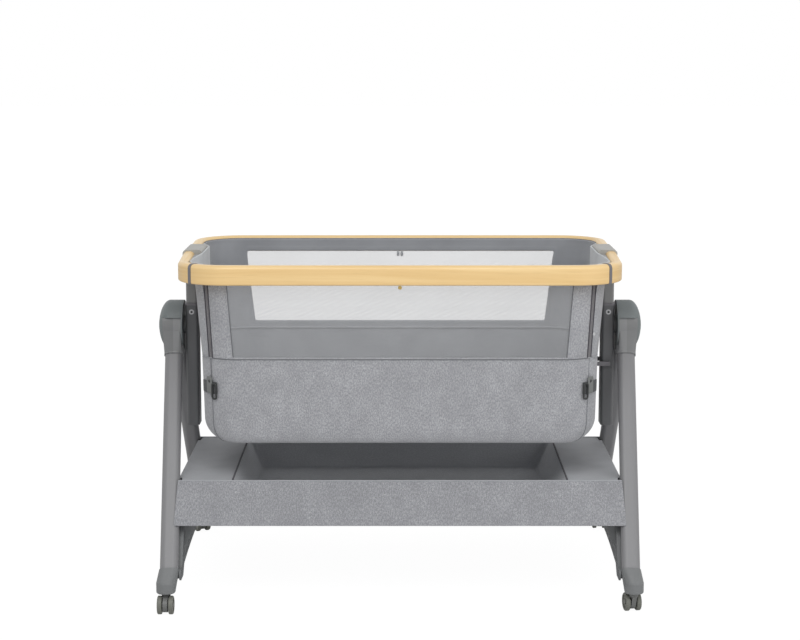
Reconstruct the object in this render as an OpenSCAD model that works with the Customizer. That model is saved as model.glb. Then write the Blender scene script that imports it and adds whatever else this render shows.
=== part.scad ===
// Bedside crib: a fabric bassinet hung in an oval wood-look rail, on two telescoping posts.
// Four splayed legs on twin-wheel casters carry the posts and a fabric storage base.
// The front side folds down. X runs along the length, Y from front to rear, Z up.
// The origin is on the floor, under the middle of the crib. Sizes are millimetres.

/* [Rail] */
// Outside length of the top rail
rail_len = 928; // [920:1:940]
// Outside depth of the top rail
rail_dep = 520; // [516:1:528]
// Outside radius of the rail's corners, seen from above
rail_r = 107; // [100:1:112]
// Width of the rail's section
rail_w = 24; // [22:1:25]
// Height of the end rails at the clamps
rail_h = 47; // [42:1:52]
// Height of the front rail
front_rail_h = 41; // [38:1:44]
// How far the front rail's top lies below the end rails' tops
front_drop = 8; // [4:1:12]
// Height of the rear rail
rear_rail_h = 35; // [30:1:40]
// How far the rear rail's top lies above the end rails' tops
rear_rise = 3; // [0:0.5:3]
// Height of the rail's top above the floor
rail_top = 714; // [708:1:724]
// Radius of the rail's rounded top edges
rail_round = 9; // [6:0.5:10]
// Width of each plastic ring joint, along the rail
ring_w = 7; // [5:0.5:10]
// How far a ring stands proud of the rail
ring_proud = 1; // [0.5:0.1:2]
// Length of the clamp over the middle of each end rail
clamp_len = 120; // [100:1:140]
// Reach of the clamp inside the rail
clamp_reach = 16; // [12:1:20]

/* [Fabric body] */
// Height of the walls, from the seam at the skirt to the rail's top
wall_h = 207; // [200:1:215]
// Height of the skirt, from the tub's underside to the seam
skirt_h = 179; // [168:1:184]
// Length of the body at the seam
seam_len = 834; // [826:1:838]
// Depth of the body at the seam
seam_dep = 452; // [446:1:456]
// Radius of the body's corners at the seam
seam_r = 80; // [70:1:90]
// How far the skirt draws in on each side, down to its rounded edge
skirt_taper = 3; // [0:0.5:6]
// Height of the tub's rounded bottom edge
tub_edge_z = 45; // [30:1:55]
// Reach of the tub's rounded bottom edge, inwards at each end
tub_edge_in = 50; // [35:1:60]
// Reach of the tub's rounded bottom edge, inwards at the front and rear
tub_edge_side = 12; // [8:1:20]
// Gap between the body's end and the rail's inside, at the rail's underside
end_drop = 10; // [8:0.5:12]
// Gap between the body's side and the rail's inside, at the rail's underside
side_drop = 2; // [1:0.5:4]
// Thickness of the padded fabric walls
wall_t = 5; // [3.5:0.5:6]
// Thickness of the netting
mesh_t = 1.6; // [1:0.1:2]
// Half width of the front netting at its foot
front_mesh_low = 345; // [330:1:350]
// Half width of the front netting at its head
front_mesh_high = 356; // [340:1:360]
// Half width of the rear netting at its foot
rear_mesh_low = 332; // [320:1:340]
// Half width of the rear netting at its head
rear_mesh_high = 351; // [340:1:360]
// Height of the plain strip between the seam and the rear netting
rear_mesh_lift = 17; // [10:1:30]
// Distance of each zip from the middle, at the rail's underside
zip_high = 402; // [399:1:405]
// How much nearer the middle each zip is at its foot
zip_lean = 8; // [6:0.5:10]
// Width of one zip tape
zip_w = 3.8; // [3:0.1:5]

/* [Mattress] */
// Length of the mattress
mattress_len = 768; // [740:1:770]
// Width of the mattress
mattress_dep = 388; // [370:1:390]
// Thickness of the mattress
mattress_t = 45; // [30:1:60]
// How far the mattress's sides draw in between the corners
mattress_pull = 4; // [1:0.5:6]
// Thickness of the floor board
board_t = 6; // [4:0.5:8]

/* [Posts] */
// Width of a post sleeve, along the crib
sleeve_w = 27; // [25:0.5:28]
// Depth of a post sleeve, across the crib
sleeve_d = 50; // [44:1:54]
// Wall of the post sleeves and inner tubes
tube_wall = 1.5; // [1.2:0.1:2]
// Length of a sleeve
sleeve_len = 264; // [255:1:275]
// Distance of a sleeve's mouth below the rail's top
mouth_drop = 122; // [112:1:130]
// Running clearance between an inner tube and its sleeve
slide_gap = 0.1; // [0.05:0.01:0.1]
// Travel of the height adjustment
lift = 120; // [90:10:130]
// Length of inner tube left in its sleeve at full height
engage = 127; // [110:1:135]
// Height of the collar on a sleeve's mouth
collar_h = 5; // [3:0.5:8]
// Distance of the rivets below the sleeve's mouth
rivet_drop = 14; // [10:1:20]
// Radius of a rivet's head
rivet_r = 5.5; // [4:0.5:6]

/* [Hubs and legs] */
// Distance of the hubs' centres below the rail's top
hub_drop = 167; // [160:1:174]
// Radius of a hub
hub_r = 54; // [50:1:58]
// Gap between a post sleeve and its hub
hub_gap = 4.5; // [3:0.5:8]
// Thickness of a hub's inner cover
inner_cover_t = 2.8; // [2:0.1:4]
// Depth of the curved part of a hub's outer cover
dome_h = 25; // [24:0.5:27]
// Radius of a release button
button_r = 16; // [12:0.5:18]
// Travel of a release button
button_travel = 4; // [3:0.5:4]
// Width of a leg tube, along the crib
leg_w = 38; // [34:0.5:40]
// Depth of a leg tube
leg_d = 24; // [20:0.5:26]
// Wall of a leg tube
leg_wall = 2; // [1.5:0.1:2.5]
// Wall of a leg socket
socket_wall = 2; // [1.5:0.1:3]
// Length of a leg socket, from the hub's centre
socket_len = 75; // [68:1:82]
// Distance of each leg's upper end from the hub's centre
leg_start = 38; // [34:1:42]
// Distance of each leg's lower end from the middle, front and rear
foot_y = 318; // [300:1:330]
// Height of each leg's lower end
foot_z = 85; // [80:1:92]
// How much nearer the middle the legs are at their lower ends, along the crib
leg_lean = 18; // [10:1:24]

/* [Feet and casters] */
// Distance of the caster stems from the middle, along the crib
stem_x = 479; // [474:1:482]
// Distance of the caster stems from the middle, front and rear
stem_y = 333; // [329:1:336]
// Height of the feet's undersides
foot_low = 42.5; // [42:0.5:45]
// Radius of a foot's toe
toe_r = 19.6; // [17:0.1:21]
// Radius of a caster's stem
stem_r = 4; // [3.5:0.1:5]
// Radius of a caster wheel
wheel_r = 19; // [17:0.5:19]
// Width of a caster wheel
wheel_w = 9.5; // [7:0.5:11]
// Distance of a wheel's inner face from the caster's middle
wheel_gap = 6.85; // [6:0.05:8]
// Distance of the axle behind the stem
trail = 13; // [10:0.5:14]
// Radius of the axle
axle_r = 2.5; // [2:0.1:3]

/* [Storage base] */
// Height of the base's top
base_top = 250; // [244:1:256]
// Height of the base's underside
base_low = 167; // [166:1:175]
// Half length of the base at its top
base_len_high = 465; // [462:1:468]
// How much further the base's front reaches at its foot, on each side
base_flare = 4; // [0:1:8]
// Thickness of the base's fabric panels
base_t = 2.2; // [1.5:0.1:3]
// Thickness of the base's stiffened top and bottom
base_board = 4; // [3:0.5:5]
// Half length of the storage well's opening
well_len = 350; // [330:1:360]
// Half depth of the storage well
well_dep = 213; // [200:1:215]
// Depth of the storage well
well_h = 70; // [60:1:72]
// How far each end of the well slopes in
well_slope = 33; // [20:1:40]
// Radius of a cross bar inside the base
bar_r = 10; // [8:0.5:11]
// Thickness of a side beam
beam_t = 13.5; // [11:0.5:15]
// Height of a side beam's top
beam_top = 166; // [155:1:166]
// Height of a side beam's lower edge at its middle
beam_arch = 97; // [90:1:104]

/* [Hidden] */
$fn = 64;

// Clearances and small shared sizes
soft_gap = 0.3;      // between fabric pieces that move past each other
seat_gap = 0.05;     // between a stem, axle or button and its bore
hem_gap = 0.25;      // between the fabric's hem and the rail
cut = 1;             // how far a cutting shape runs past the face it cuts
far = 400;           // reach of the prisms that cut the walls
hull_fn = 32;        // facets of the round shapes inside a hull

// Rail
post_x = rail_len / 2 - rail_w / 2;
rail_turn = rail_r - rail_w / 2;
turn_x = rail_len / 2 - rail_r;
turn_y = rail_dep / 2 - rail_r;
rail_low = rail_top - rail_h;
front_top = rail_top - front_drop;
front_low = front_top - front_rail_h;
rear_top = rail_top + rear_rise;
arc_step = 5.5;
ring_half = 180 / PI * ring_w / 2 / rail_turn;
rail_split = 180 / PI * soft_gap / rail_turn;
bottom_round = 4;
tenon_w = rail_w - 10;
tenon_h = 20;
tenon_len = 15;
tenon_drop = 10;
clamp_low = rail_low - 5;
clamp_top = rail_top + 3;
clamp_out = rail_len / 2 + 1.5;
clamp_in = rail_len / 2 - rail_w - clamp_reach;
clamp_round = 8;
socket_deep = 24;

// Fabric body: each level is height, half length, half depth and corner radius
seam_z = rail_top - wall_h;
tub_bottom = seam_z - skirt_h;
hem_top = rail_top - 10;
rail_in_x = rail_len / 2 - rail_w;
rail_in_y = rail_dep / 2 - rail_w;
seam_level = [seam_z, seam_len / 2, seam_dep / 2, seam_r];
rail_level = [rail_low, rail_in_x - end_drop, rail_in_y - side_drop, seam_r + 2];
hem_level = [hem_top, rail_in_x - hem_gap, rail_in_y - hem_gap, rail_r - rail_w - hem_gap];
wall_levels = [seam_level, rail_level, hem_level];
panel_levels = [concat([seam_z + soft_gap], [for (i = [1:3]) seam_level[i]]), rail_level, hem_level];
edge_steps = 6;
least_r = 25;
rear_split = 120;
bow_low = clamp_low - 14;
bow_full = clamp_low - 1;
bow_front = seam_dep / 2 - seam_r - 1;
bow_rear = rear_split - 3;
bow_flat = clamp_len / 2 + 1;
bow_x = clamp_in - hem_gap;
front_split = -100;
zip_cover = wall_t / 4;
tape_t = 1.5;
mesh_foot = seam_z + soft_gap + 4;
mesh_head = front_low - 3;
rear_mesh_foot = seam_z + rear_mesh_lift;
rear_mesh_head = rail_top - 34;

// Zip sliders
slider_w = 5;
slider_body = 7;
slider_h = slider_body + slider_w / 2;
slider_t = 3;
slider_clear = 0.6;
slider_off = zip_w / 2 + 3.2;
slider_z = front_low - slider_h;

// Mattress and floor board
board_inset = 1;
tub_floor = tub_bottom + wall_t;
mattress_low = tub_floor + board_t + soft_gap;
mattress_r = 52;
crown = 4;

// Posts and hubs
sleeve_top = rail_top - mouth_drop;
sleeve_low = sleeve_top - sleeve_len;
hub_z = rail_top - hub_drop;
tube_w = sleeve_w - 2 * tube_wall - 2 * slide_gap;
tube_d = sleeve_d - 2 * tube_wall - 2 * slide_gap;
tube_low = sleeve_top - lift - engage;
sleeve_round = 6;
hub_x = post_x + sleeve_w / 2 + hub_gap;
core_x = hub_x + inner_cover_t + 0.2;
leg_hub_x = hub_x + 1 + leg_w / 2 + socket_wall;
core_end = leg_hub_x + leg_w / 2 + socket_wall;
core_r = hub_r - 4;
wrap_low = 21;
socket_short = 12;
stem_end = 2;
shoulder_x = core_end - 15;
shoulder_r = core_r - 8;
cover_gap = 0.3;
dome_x = core_end + 0.2;
dome_base = core_end - 13;
dome_tip = dome_base + dome_h;
dome_hollow = [hub_r - 14, dome_tip - dome_x - 3.5];
button_x = dome_tip - 0.7;
flange_t = 2.7;
flange_x = dome_tip - 5 - flange_t;
button_stem_r = 4;
button_stem_x = core_x + 25;
boss_r = 19;
bolt_r = 3;
bolt_head_r = 5.5;
bolt_head_h = 4.5;
bolt_z = 12;
bolt_head_x = core_end - 8;
bolt_clear = 0.1;

// Legs: the centre line runs from the foot point to the hub's centre
leg_foot_x = leg_hub_x - leg_lean;
leg_rise = hub_z - foot_z;
leg_len = sqrt(leg_lean * leg_lean + foot_y * foot_y + leg_rise * leg_rise);
leg_yaw = asin(leg_lean / leg_len);
leg_pitch = -atan(foot_y / leg_rise);
foot_wall = 1.6;
foot_plug = 40;
function leg_y(z) = foot_y * (hub_z - z) / leg_rise;
function leg_x(z) = leg_hub_x - leg_lean * (hub_z - z) / leg_rise;

// Storage base: the panels lie along the legs
leg_half = leg_d / 2 / cos(leg_pitch);
panel_in = leg_half + soft_gap / cos(leg_pitch);
panel_out = panel_in + base_t / cos(leg_pitch);
base_len_low = base_len_high + base_flare;
leg_space = 1.2;
base_inner = min(leg_x(base_low) - leg_w / 2 - leg_space, base_len_high - base_t - soft_gap);
leg_clear = leg_half + 2;
bar_z = base_low + 28;
bar_wall = 1.5;
lug_x = leg_foot_x - leg_w / 2 - foot_wall - 0.1;
beam_x = lug_x + 10;
lug_r = 13;
lug_y = foot_y - 7;
lug_z = foot_z - 11;
beam_drop = 15;
beam_bend = foot_y - 62;
beam_heel = beam_bend + 21;
beam_foot_z = lug_z - lug_r + 1;
beam_end_z = foot_z - 5;
slot_len = 36;
slot_w = 14;
slot_y = beam_bend + 6;
slot_z = foot_z + 20;
gusset_w = 28;
gusset_t = 3;
gusset_h = 54;
gusset_step = 26;

// Casters
caster_x = [-stem_x, stem_x, -stem_x, stem_x];
caster_y = [-stem_y, -stem_y, stem_y, stem_y];
caster_turn = [-90, 99, -65, 90];
wheel_clear = 1.2;
web_t = 9.5;
web_r = 15;
yoke_z = 14;
boss_gap = 0.1;
axle_boss_r = 6;
collar_r = 9;
stem_top = foot_low + 31;
bore_top = stem_top + 1;
tread_round = 2.5;
dish_in = 6;
dish_out = 14;
dish_deep = 2;

// Strap ends and bracket
strap_z = seam_z - 82;
strap_h = 22;
strap_t = 2.2;
buckle_z = seam_z - 65;
buckle_w = 17;
buckle_h = 36;
buckle_t = 3;
buckle_bar = 3.5;
bracket_z = seam_z - 46;
bracket_h = 9;
bracket_t = 6;
bracket_side = 30;
bracket_reach = 4;
bracket_plate = 3;
snap_r = 4;
snap_t = 2;
snap_gap = 0.1;

leg_grey = [0.56, 0.56, 0.56];
hub_grey = [0.41, 0.45, 0.45];
post_grey = [0.35, 0.36, 0.37];
trim_grey = [0.40, 0.40, 0.41];
caster_grey = [0.20, 0.20, 0.20];
wheel_grey = [0.47, 0.47, 0.44];
wood_tone = [0.91, 0.80, 0.57];
heather = [0.62, 0.63, 0.65];
lining = [0.55, 0.56, 0.57];
netting = [0.83, 0.83, 0.84];
zip_grey = [0.32, 0.30, 0.32];
steel = [0.75, 0.75, 0.75];
brass = [0.80, 0.65, 0.35];
board_tone = [0.45, 0.45, 0.46];
cover_tone = [0.86, 0.86, 0.85];

// Flat shapes and placing

module round_rect(w, d, r) {
    square([w - 2 * r, d], center = true);
    square([w, d - 2 * r], center = true);
    for (x = [-1, 1], y = [-1, 1]) translate([x * (w / 2 - r), y * (d / 2 - r)]) circle(r);
}

module oval(w, d) {
    square([w - d, d], center = true);
    for (x = [-1, 1]) translate([x * (w - d) / 2, 0]) circle(d / 2);
}

// A rod along X between two places
module rod_x(x0, x1, r, y = 0, z = 0) {
    translate([x0, y, z]) rotate([0, 90, 0]) cylinder(r = r, h = x1 - x0);
}

// Draws for the right side, or mirrored for the left one
module on_side(left) {
    mirror([left ? 1 : 0, 0, 0]) children();
}

module both_sides() {
    for (left = [false, true]) on_side(left) children();
}

// Draws for the right front corner, or mirrored for another one
module at_corner(left, rear) {
    mirror([left ? 1 : 0, 0, 0]) mirror([0, rear ? 1 : 0, 0]) children();
}

// The frame of the right front leg: its foot at 0, its axis along Z
module along_leg(s = 0) {
    translate([leg_foot_x, -foot_y, foot_z])
        rotate([leg_pitch, 0, 0]) rotate([0, leg_yaw, 0]) translate([0, 0, s]) children();
}

// A flat shape drawn in length and height, as a prism through the crib from y0 to y1
module prism_y(y0, y1) {
    translate([0, y1, 0]) rotate([90, 0, 0]) linear_extrude(y1 - y0) children();
}

// A flat shape drawn in depth and height, as a prism along the crib from x0 to x1
module prism_x(x0, x1) {
    translate([x0, 0, 0]) rotate([90, 0, 90]) linear_extrude(x1 - x0) children();
}

// Points of a level outline, anticlockwise, drawn in by inset
function ring(level, inset = 0, steps = 8) =
    let (r = max(level[3] - inset, 1), hx = level[1] - inset, hy = level[2] - inset)
    [for (q = [0:3], i = [0:steps])
        let (a = 90 * q + 90 * i / steps,
             cx = (q == 0 || q == 3 ? 1 : -1) * (hx - r),
             cy = (q < 2 ? 1 : -1) * (hy - r))
        [cx + r * cos(a), cy + r * sin(a), level[0]]];

// Closed solid through a stack of outlines with equal numbers of points
module loft(rings) {
    n = len(rings[0]);
    top = len(rings) - 1;
    polyhedron(
        points = [for (outline = rings, p = outline) p],
        faces = concat(
            [[for (i = [0:n - 1]) i]],
            [for (j = [0:top - 1], i = [0:n - 1], half = [0, 1])
                let (k = (i + 1) % n, a = j * n + i, b = (j + 1) * n + i,
                     c = (j + 1) * n + k, d = j * n + k)
                half == 0 ? [a, b, c] : [a, c, d]],
            [[for (i = [n - 1:-1:0]) top * n + i]]));
}

// Closed band through a stack of outlines whose last joins its first
module band(rings) {
    n = len(rings[0]);
    m = len(rings);
    polyhedron(
        points = [for (outline = rings, p = outline) p],
        faces = [for (j = [0:m - 1], i = [0:n - 1], half = [0, 1])
            let (k = (i + 1) % n, next = (j + 1) % m,
                 a = j * n + i, b = next * n + i, c = next * n + k, d = j * n + k)
            half == 0 ? [a, b, c] : [a, c, d]]);
}

// Legs and hubs

module leg() {
    difference() {
        along_leg() linear_extrude(leg_len - leg_start) oval(leg_w, leg_d);
        along_leg(-cut) linear_extrude(leg_len + 2 * cut)
            oval(leg_w - 2 * leg_wall, leg_d - 2 * leg_wall);
    }
}

// The outside of both sockets of the right hub
module socket_arms(grow = 0) {
    for (rear = [false, true]) at_corner(false, rear)
        along_leg(leg_len - socket_len) linear_extrude(socket_len - socket_short)
            oval(leg_w + 2 * (socket_wall + grow), leg_d + 2 * (socket_wall + grow + 1));
}

// Everything in a hub above the lower edge of its outer cover
module hub_upper(gap = 0) {
    translate([core_x - cut, -2 * hub_r, hub_z + wrap_low - gap])
        cube([4 * hub_r, 4 * hub_r, 2 * hub_r]);
}

// Fairing from the hub's round core down to the mouth of its front socket
module socket_fairing() {
    intersection() {
        hull() {
            rod_x(core_x + 2, core_end - 0.5, core_r - 1, 0, hub_z, $fn = hull_fn);
            along_leg(leg_len - socket_len + 3) linear_extrude(1)
                oval(leg_w + 2 * socket_wall - 1, leg_d + 2 * socket_wall + 1, $fn = hull_fn);
        }
        translate([core_x + 0.3, -far, 0]) cube([far, 2 * far, rail_top]);
    }
}

module leg_sockets() {
    color(hub_grey) difference() {
        union() {
            difference() {
                union() {
                    rod_x(core_x, core_end, core_r, 0, hub_z);
                    for (rear = [false, true]) at_corner(false, rear) socket_fairing();
                }
                intersection() {
                    hub_upper(cover_gap);
                    difference() {
                        rod_x(shoulder_x, core_end + cut, hub_r, 0, hub_z);
                        rod_x(shoulder_x - cut, core_end + 2 * cut, shoulder_r, 0, hub_z);
                    }
                }
            }
            socket_arms();
        }
        for (rear = [false, true]) at_corner(false, rear)
            along_leg(leg_len - socket_len - cut) linear_extrude(socket_len - leg_start + cut)
                oval(leg_w + 2 * seat_gap, leg_d + 2 * seat_gap);
        rod_x(button_stem_x - button_travel - stem_end, core_end + cut, button_stem_r + seat_gap, 0, hub_z);
        for (s = [-1, 1]) {
            rod_x(core_x - 5, core_end, bolt_r + bolt_clear, 0, hub_z + s * bolt_z);
            rod_x(bolt_head_x, core_end + cut, bolt_head_r + bolt_clear, 0, hub_z + s * bolt_z);
        }
    }
}

module inner_cover() {
    color(hub_grey) difference() {
        rod_x(hub_x, hub_x + inner_cover_t, hub_r, 0, hub_z);
        socket_arms(0.2);
        for (s = [-1, 1])
            rod_x(hub_x - cut, core_x + cut, bolt_r + bolt_clear, 0, hub_z + s * bolt_z);
    }
}

// Half outline of a dome over a round foot, from radius r up to height h
function dome_outline(r, h, low = 0, n = 12) = concat(
    [[0, 0], [r, 0]],
    [for (i = [0:n]) let (a = 90 * i / n) [r * cos(a), low + h * sin(a)]]);

module outer_cover() {
    color(hub_grey) difference() {
        translate([core_x, 0, hub_z]) rotate([0, 90, 0])
            rotate_extrude() polygon(dome_outline(hub_r, dome_h, dome_base - core_x));
        difference() {
            translate([core_x - cut, -2 * hub_r, hub_z - 2 * hub_r])
                cube([dome_x - core_x + cut, 4 * hub_r, 4 * hub_r]);
            hub_upper();
        }
        rod_x(core_x - cut, shoulder_x + 0.2, core_r + cover_gap, 0, hub_z);
        rod_x(core_x - cut, dome_x, shoulder_r + cover_gap, 0, hub_z);
        translate([dome_x - cut, 0, hub_z]) rotate([0, 90, 0])
            rotate_extrude() polygon(dome_outline(dome_hollow[0], dome_hollow[1], cut));
        rod_x(dome_x, dome_tip + cut, button_r + seat_gap, 0, hub_z);
    }
}

module release_button() {
    color(trim_grey) translate([0, 0, hub_z]) {
        rod_x(flange_x, button_x - 1, button_r);
        rod_x(button_x - 1, button_x, button_r - 2);
        rod_x(flange_x, flange_x + flange_t, button_r + 3);
        rod_x(button_stem_x, flange_x, button_stem_r);
    }
}

module bolts() {
    color(steel) for (s = [-1, 1]) {
        rod_x(post_x + sleeve_w / 2 - tube_wall + 0.2, bolt_head_x, bolt_r, 0, hub_z + s * bolt_z);
        rod_x(bolt_head_x, bolt_head_x + bolt_head_h, bolt_head_r, 0, hub_z + s * bolt_z);
    }
}

// Posts

module post_sleeve() {
    color(post_grey) difference() {
        union() {
            translate([post_x, 0, sleeve_low]) linear_extrude(sleeve_top - sleeve_low)
                round_rect(sleeve_w, sleeve_d, sleeve_round);
            rod_x(post_x + sleeve_w / 2 - tube_wall / 2, hub_x, boss_r, 0, hub_z);
        }
        translate([post_x, 0, sleeve_low - cut]) linear_extrude(sleeve_top - sleeve_low + 2 * cut)
            round_rect(sleeve_w - 2 * tube_wall, sleeve_d - 2 * tube_wall, sleeve_round - tube_wall);
        for (s = [-1, 1])
            rod_x(post_x, hub_x + cut, bolt_r + bolt_clear, 0, hub_z + s * bolt_z);
        translate([post_x, 0, sleeve_top - rivet_drop]) rotate([90, 0, 0])
            cylinder(r = rivet_r / 2 + seat_gap, h = sleeve_d + 2 * cut, center = true);
    }
}

module post_collar() {
    color(trim_grey) translate([post_x, 0, sleeve_top]) linear_extrude(collar_h) difference() {
        round_rect(sleeve_w + 2.4, sleeve_d + 2.4, sleeve_round + 1.2);
        round_rect(sleeve_w - 2 * tube_wall, sleeve_d - 2 * tube_wall, sleeve_round - tube_wall);
    }
}

// One rivet on the front face of a sleeve and one on its rear face
module rivet_pair() {
    color(steel) for (rear = [0, 1]) mirror([0, rear, 0])
        translate([post_x, -sleeve_d / 2, sleeve_top - rivet_drop]) rotate([90, 0, 0]) difference() {
            union() {
                cylinder(r = rivet_r, h = 1.2);
                translate([0, 0, 1.2]) cylinder(r = rivet_r - 1.2, h = 0.8);
                translate([0, 0, 0.1 - tube_wall]) cylinder(r = rivet_r / 2, h = tube_wall);
            }
            translate([0, 0, 0.8]) cylinder(r = 1.4, h = 2);
        }
}

module inner_tube() {
    color(post_grey) translate([post_x, 0, tube_low])
        linear_extrude(clamp_low + socket_deep - tube_low) difference() {
            round_rect(tube_w, tube_d, sleeve_round - tube_wall - slide_gap);
            round_rect(tube_w - 2 * tube_wall, tube_d - 2 * tube_wall, 3);
        }
}

// Feet and casters

module foot() {
    color(hub_grey) difference() {
        union() {
            hull() {
                along_leg(-0.5) linear_extrude(0.5)
                    oval(leg_w + 2 * foot_wall, leg_d + 2 * foot_wall, $fn = hull_fn);
                translate([stem_x, -stem_y - 4, foot_low])
                    cylinder(r = toe_r - 1.5, h = 25, $fn = hull_fn);
                translate([stem_x, -stem_y - 4, foot_low + 2])
                    cylinder(r = toe_r, h = 19, $fn = hull_fn);
            }
            along_leg(-1) linear_extrude(foot_plug + 1)
                oval(leg_w - 2 * leg_wall - 0.2, leg_d - 2 * leg_wall - 0.2);
        }
        translate([stem_x, -stem_y, foot_low - cut])
            cylinder(r = stem_r + seat_gap, h = bore_top - foot_low + cut);
    }
}

// Places a caster's own frame: its stem at the origin, its axle toward +Y
module caster_frame(i) {
    translate([caster_x[i], caster_y[i], 0]) rotate([0, 0, caster_turn[i] - 90]) children();
}

module caster(i) {
    half = wheel_gap + wheel_w;
    top = foot_low - 0.05;
    color(caster_grey) caster_frame(i) difference() {
        union() {
            prism_x(-web_t / 2, web_t / 2) hull() {
                translate([trail, wheel_r]) circle(web_r, $fn = hull_fn);
                translate([1 - collar_r, wheel_r + yoke_z])
                    square([2 * collar_r - 2, top - wheel_r - yoke_z - 1]);
            }
            rod_x(boss_gap - wheel_gap, wheel_gap - boss_gap, axle_boss_r, trail, wheel_r);
            translate([0, 0, wheel_r + yoke_z]) cylinder(r = collar_r, h = top - wheel_r - yoke_z);
            translate([0, 0, wheel_r + yoke_z]) cylinder(r = stem_r, h = stem_top - wheel_r - yoke_z);
        }
        for (s = [0, 1]) mirror([s, 0, 0])
            rod_x(wheel_gap - boss_gap, half + cut, wheel_r + wheel_clear, trail, wheel_r);
        rod_x(-half, half, axle_r + seat_gap, trail, wheel_r);
    }
}

module wheel() {
    rotate([0, 90, 0]) rotate_extrude() difference() {
        union() {
            square([wheel_r - tread_round, wheel_w]);
            translate([0, tread_round]) square([wheel_r, wheel_w - 2 * tread_round]);
            for (y = [tread_round, wheel_w - tread_round])
                translate([wheel_r - tread_round, y]) circle(tread_round);
        }
        translate([dish_in, wheel_w - dish_deep]) square([dish_out - dish_in, dish_deep + cut]);
    }
}

module wheels(i) {
    color(wheel_grey) caster_frame(i) translate([0, trail, wheel_r]) {
        for (s = [0, 1]) mirror([s, 0, 0]) translate([wheel_gap, 0, 0]) wheel();
        rod_x(-wheel_gap - 1, wheel_gap + 1, axle_r);
    }
}

// Half of a side beam's outline, in depth and height, clear of the leg
function beam_half() = concat(
    [[leg_y(beam_top) - leg_clear, beam_top], [leg_y(beam_end_z) - leg_clear, beam_end_z],
     [leg_y(beam_end_z) - leg_clear - 2, beam_foot_z], [beam_heel, beam_foot_z]],
    [for (i = [4:-1:1]) let (y = beam_bend * i / 4)
        [y, beam_arch - beam_drop * (y / beam_bend) * (y / beam_bend)]]);

module side_beam() {
    half = beam_half();
    inner = beam_x - beam_t;
    color(hub_grey) {
        prism_x(inner, beam_x) difference() {
            polygon(concat(half, [[0, beam_arch]],
                [for (i = [len(half) - 1:-1:0]) [-half[i][0], half[i][1]]]));
            for (s = [-1, 1]) translate([s * slot_y, slot_z])
                rotate(s * (90 - leg_pitch)) oval(slot_len, slot_w);
        }
        for (rear = [0, 1]) mirror([0, rear, 0]) {
            prism_x(inner + 0.4, lug_x) hull() {
                translate([-lug_y, lug_z]) circle(lug_r, $fn = hull_fn);
                translate([-beam_heel - 4, beam_foot_z + 1]) square([4, lug_r]);
            }
            prism_y(0.5 - half[0][0], gusset_t + 0.5 - half[0][0]) polygon([
                [inner + 1, beam_top - 1], [beam_x - gusset_w, beam_top - 1],
                [beam_x - gusset_w, beam_top - gusset_step], [inner + 1, beam_top - gusset_h]]);
        }
    }
}

// Storage base

module base_panel() {
    color(heather) intersection() {
        prism_x(-base_len_low, base_len_low) polygon([
            [-leg_y(base_top) - panel_out, base_top], [-leg_y(base_top) - panel_in, base_top],
            [-leg_y(base_low) - panel_in, base_low], [-leg_y(base_low) - panel_out, base_low]]);
        prism_y(-far, 0) polygon([
            [-base_len_high, base_top], [base_len_high, base_top],
            [base_len_low, base_low], [-base_len_low, base_low]]);
    }
}

module end_panel() {
    top = base_top - base_board;
    color(heather) prism_x(base_len_high - base_t, base_len_high) polygon([
        for (s = [-1, 1]) [s * (leg_y(top) - leg_clear), top],
        for (s = [1, -1]) [s * (leg_y(base_low) - leg_clear), base_low]]);
}

// A stiffened sheet between the legs, widened between them to meet the end panels
module board_plan(z, reach) {
    square([2 * base_inner, 2 * (leg_y(z) + panel_in)], center = true);
    square([2 * reach, 2 * (leg_y(z) - leg_clear)], center = true);
}

module base_tops_pair() {
    color(lining) translate([0, 0, base_top - base_board]) linear_extrude(base_board) difference() {
        board_plan(base_top, base_len_high);
        square([2 * well_len, far * 2], center = true);
    }
}

module bottom_board() {
    color(board_tone) translate([0, 0, base_low]) linear_extrude(base_board)
        board_plan(base_low + base_board, base_len_high - base_t);
}

module basket() {
    low = base_top - well_h;
    color(lining) difference() {
        union() {
            prism_y(-well_dep, well_dep) polygon([
                [-well_len, base_top], [well_len, base_top],
                [well_len - well_slope, low], [well_slope - well_len, low]]);
            translate([-well_len, -leg_y(base_top) - panel_in, base_top - 3])
                cube([2 * well_len, 2 * (leg_y(base_top) + panel_in), 3]);
        }
        prism_y(3 - well_dep, well_dep - 3) polygon([
            [3 - well_len, base_top + cut], [well_len - 3, base_top + cut],
            [well_len - well_slope - 3, low + 3], [well_slope + 3 - well_len, low + 3]]);
    }
}

module cross_bars() {
    reach = leg_x(bar_z) - leg_w / 2 - 0.4;
    color(leg_grey) for (s = [-1, 1]) difference() {
        rod_x(-reach, reach, bar_r, s * leg_y(bar_z), bar_z);
        rod_x(-reach - cut, reach + cut, bar_r - bar_wall, s * leg_y(bar_z), bar_z);
    }
}

// Rail

// Section of the rail: its width across, its height down from 0
module rail_section(h, proud = 0) {
    w = rail_w / 2;
    translate([-w, bottom_round - h]) square([rail_w + proud, h - bottom_round - rail_round]);
    translate([rail_round - w, -rail_round]) square([rail_w - 2 * rail_round + proud, rail_round + proud]);
    translate([bottom_round - w, -h - proud])
        square([rail_w - 2 * bottom_round + proud, bottom_round + proud]);
    translate([rail_round - w, -rail_round + proud / 2]) circle(rail_round + proud / 2);
    translate([w - rail_round, -rail_round]) circle(rail_round + proud);
    translate([bottom_round - w, bottom_round - h - proud / 2]) circle(bottom_round + proud / 2);
    translate([w - bottom_round, bottom_round - h]) circle(bottom_round + proud);
}

// A stretch of the right front corner of the front rail, between two angles from the front
module rail_arc(a0, a1, proud = 0) {
    translate([turn_x, -turn_y, front_top]) rotate([0, 0, a0 - 90])
        rotate_extrude(angle = a1 - a0, $fn = 96)
            translate([rail_turn, 0]) rail_section(front_rail_h, proud);
}

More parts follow.
